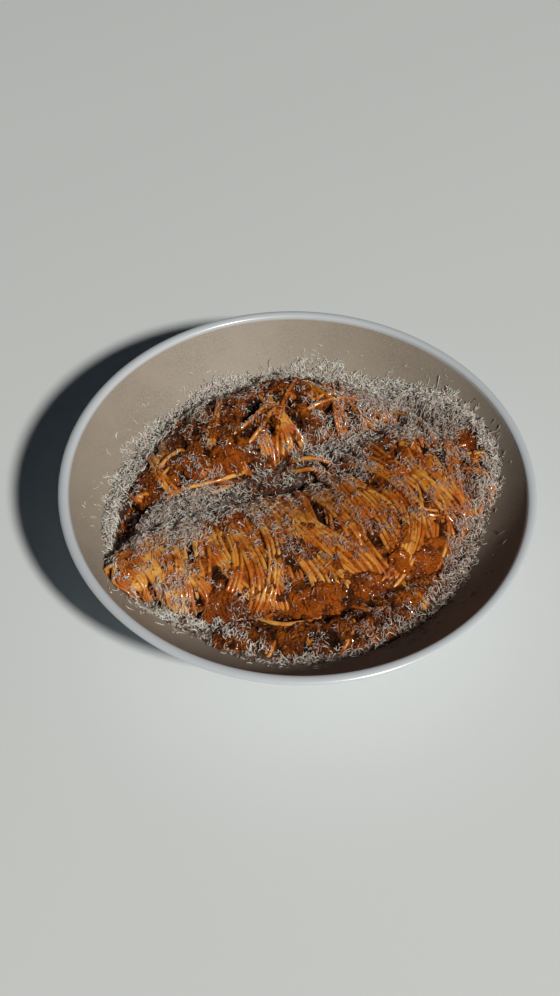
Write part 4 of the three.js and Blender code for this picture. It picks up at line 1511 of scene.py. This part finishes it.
def curl_lines(places, seed, middling, loft):
    """Lines of curls, each bent along what is under it and lifted by those below."""
    random = np.random.default_rng(seed)
    count = len(places)
    x, y = places[:, :1], places[:, 1:]
    length = np.clip(middling * random.lognormal(0, 0.42, count), 0.9, 6.5)[:, None]
    heading = random.uniform(0, 2 * math.pi, (count, 1))
    steps = np.linspace(-0.5, 0.5, CURL_POINTS)[None, :]
    angle = heading + random.normal(0, 2.4, (count, 1)) * steps
    reach = 0.5 * length * np.cos(heading), 0.5 * length * np.sin(heading)
    rise = read_map(bridges, x + reach[0], y + reach[1]) - read_map(bridges, x - reach[0], y - reach[1])
    step = length / (CURL_POINTS - 1) / np.sqrt(1 + (rise / length) ** 2)
    across, along = (np.cumsum(f(angle) * step, axis=1) for f in (np.cos, np.sin))
    x = x + across - across.mean(axis=1, keepdims=True)
    y = y + along - along.mean(axis=1, keepdims=True)
    lowest, bridge = read_map(ground, x, y), read_map(bridges, x, y)
    z = lowest + (bridge - lowest) * random.uniform(0, 1, (count, 1)) ** 0.7
    middle = z.mean(axis=1, keepdims=True)
    z = np.clip(z, middle - 0.5 * length, middle + 0.5 * length)
    ride = 0.2 + loft[:, None] * random.uniform(0, 1, (count, 1))
    tilt = random.normal(0, 0.45, (count, 1)) * steps * length
    hump = random.uniform(-0.1, 0.6, (count, 1)) * (1 - 4 * steps ** 2) * length * 0.4
    return np.stack([x, y, z + ride + np.minimum(loft[:, None], 1) * (tilt + hump)], axis=-1)


def make_curls(area, order):
    count, radius, middling, loft, stain = CURLS[area]
    random = np.random.default_rng(60 + order)
    places = draw_places(count, order, random)
    far_out = np.hypot(places[:, 0], places[:, 1])
    outer = ring_at(np.arctan2(places[:, 1], places[:, 0]))[0]
    deep = smooth_step(1, -9, far_out - outer)
    lines = curl_lines(places, 70 + order, middling, 0.3 + loft * deep)
    thickness = radius * random.uniform(0.7, 1.3, (count, 1)) * np.array(CURL_TAPER)
    # Painted shade: curls towards the shaded side get a darker tone.
    painted_shade = smooth_step(0.2, 1.0, places @ SHADY_SIDE / far_out)[:, None]
    tone = np.clip(random.normal(stain + 0.5 * painted_shade, 0.28), 0, 1)
    tilt = random.uniform(0, 3.1, (count, 1)) + random.normal(0, 0.6, (count, 1)) * np.arange(CURL_POINTS)
    name = f"cheese_{area}_curls"
    return swept(name, lines, thickness, tone, cheese_material, CURL_SIDES, CURL_SECTION, tilt)


food_tree = ray_tree([
    bowl, sauce_bed, *sauce_bodies.values(), *strands.values(), strays, crumbs, *chorizo.values(),
    *drifts.values(),
])
ground = height_map(food_tree)
bridges = bridged(ground, MAP_BRIDGE)
print("mean height of the gaps that are bridged:", round(float((bridges - ground).mean()), 2), "mm")
cheese = [make_curls(area, order) for order, area in enumerate(CURLS)]

# %% [markdown]
# ## What stands for what
# Every fine mesh rides on the one body of the bowl.
# Most of them take the place of a plain solid, and a heap gives way to its strands and its sauce
# together. The strays, the crumbs and the loose curls are extra, and hide nothing.

# %% Pieces and their nodes
def settle(piece, slot, *nodes):
    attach(piece, "root")
    if nodes:
        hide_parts(*nodes)


settle(bowl, "bowl", "bowl")
for heap in PASTA_HEAPS:
    settle(strands[heap], "pasta", heap)
    settle(sauce_bodies[heap], "sauce", heap)
settle(strays, "pasta")
settle(sauce_bed, "sauce", "sauce_bed")
settle(crumbs, "sauce")
for name, piece in chorizo.items():
    settle(piece, "chorizo", f"chorizo_{name}")
for heap in CHEESE_HEAPS:
    settle(drifts[heap], "cheese", heap)
for curls in cheese:
    settle(curls, "cheese")

# %% [markdown]
# ## Table and light
# The floor is plain and pale. An even sky could light the bowl, but firm shadows are what models the
# rolls. So one round lamp stands seven metres off to the right of the camera, about 44 degrees up,
# and faint bluish surroundings fill the shade a little.

# %% Table and light
FLOOR_REACH = 3000.0
TABLE_PALE = (0.665, 0.70, 0.71)
TABLE_DULL = (0.65, 0.69, 0.70)
LAMP_TOWARDS = Vector((0.433, -0.577, 0.693)).normalized()
LAMP_DISTANCE = 7.0
LAMP_ACROSS = 0.65
LAMP_POWER = 545.0
LAMP_COLOUR = (1.0, 0.96, 0.90)
SHADE_COLOUR = (0.76, 0.92, 1.15, 1)
SHADE_STRENGTH = 0.024


def make_floor():
    corners = np.array([(-1, -1, 0), (1, -1, 0), (1, 1, 0), (-1, 1, 0)])
    floor = mesh_object("floor", FLOOR_REACH * corners, [(0, 1, 2, 3)])
    material, tree, shader, place = new_material("pale_table", Roughness=0.6)
    cloud = clots(tree, place, 3.0, 0.5, 0.4)
    feed(tree, shader, Base_Color=mix_colours(tree, TABLE_DULL, TABLE_PALE, cloud))
    floor.data.materials.append(material)


def make_lamp():
    data = bpy.data.lights.new("key lamp", "AREA")
    data.shape = "DISK"
    data.size = LAMP_ACROSS
    data.energy = LAMP_POWER
    data.color = LAMP_COLOUR
    lamp = bpy.data.objects.new("key lamp", data)
    bpy.context.scene.collection.objects.link(lamp)
    turn = LAMP_TOWARDS.to_track_quat("Z", "Y").to_matrix().to_4x4()
    lamp.matrix_world = Matrix.Translation(LAMP_TOWARDS * LAMP_DISTANCE) @ turn


def make_surroundings():
    world = bpy.data.worlds.new("surroundings")
    bpy.context.scene.world = world
    world.use_nodes = True
    background = world.node_tree.nodes["Background"]
    background.inputs["Color"].default_value = SHADE_COLOUR
    background.inputs["Strength"].default_value = SHADE_STRENGTH
    bpy.context.scene.view_settings.view_transform = "Standard"


make_floor()
make_lamp()
make_surroundings()
print("lamp:", LAMP_POWER, "W at", LAMP_DISTANCE, "m")
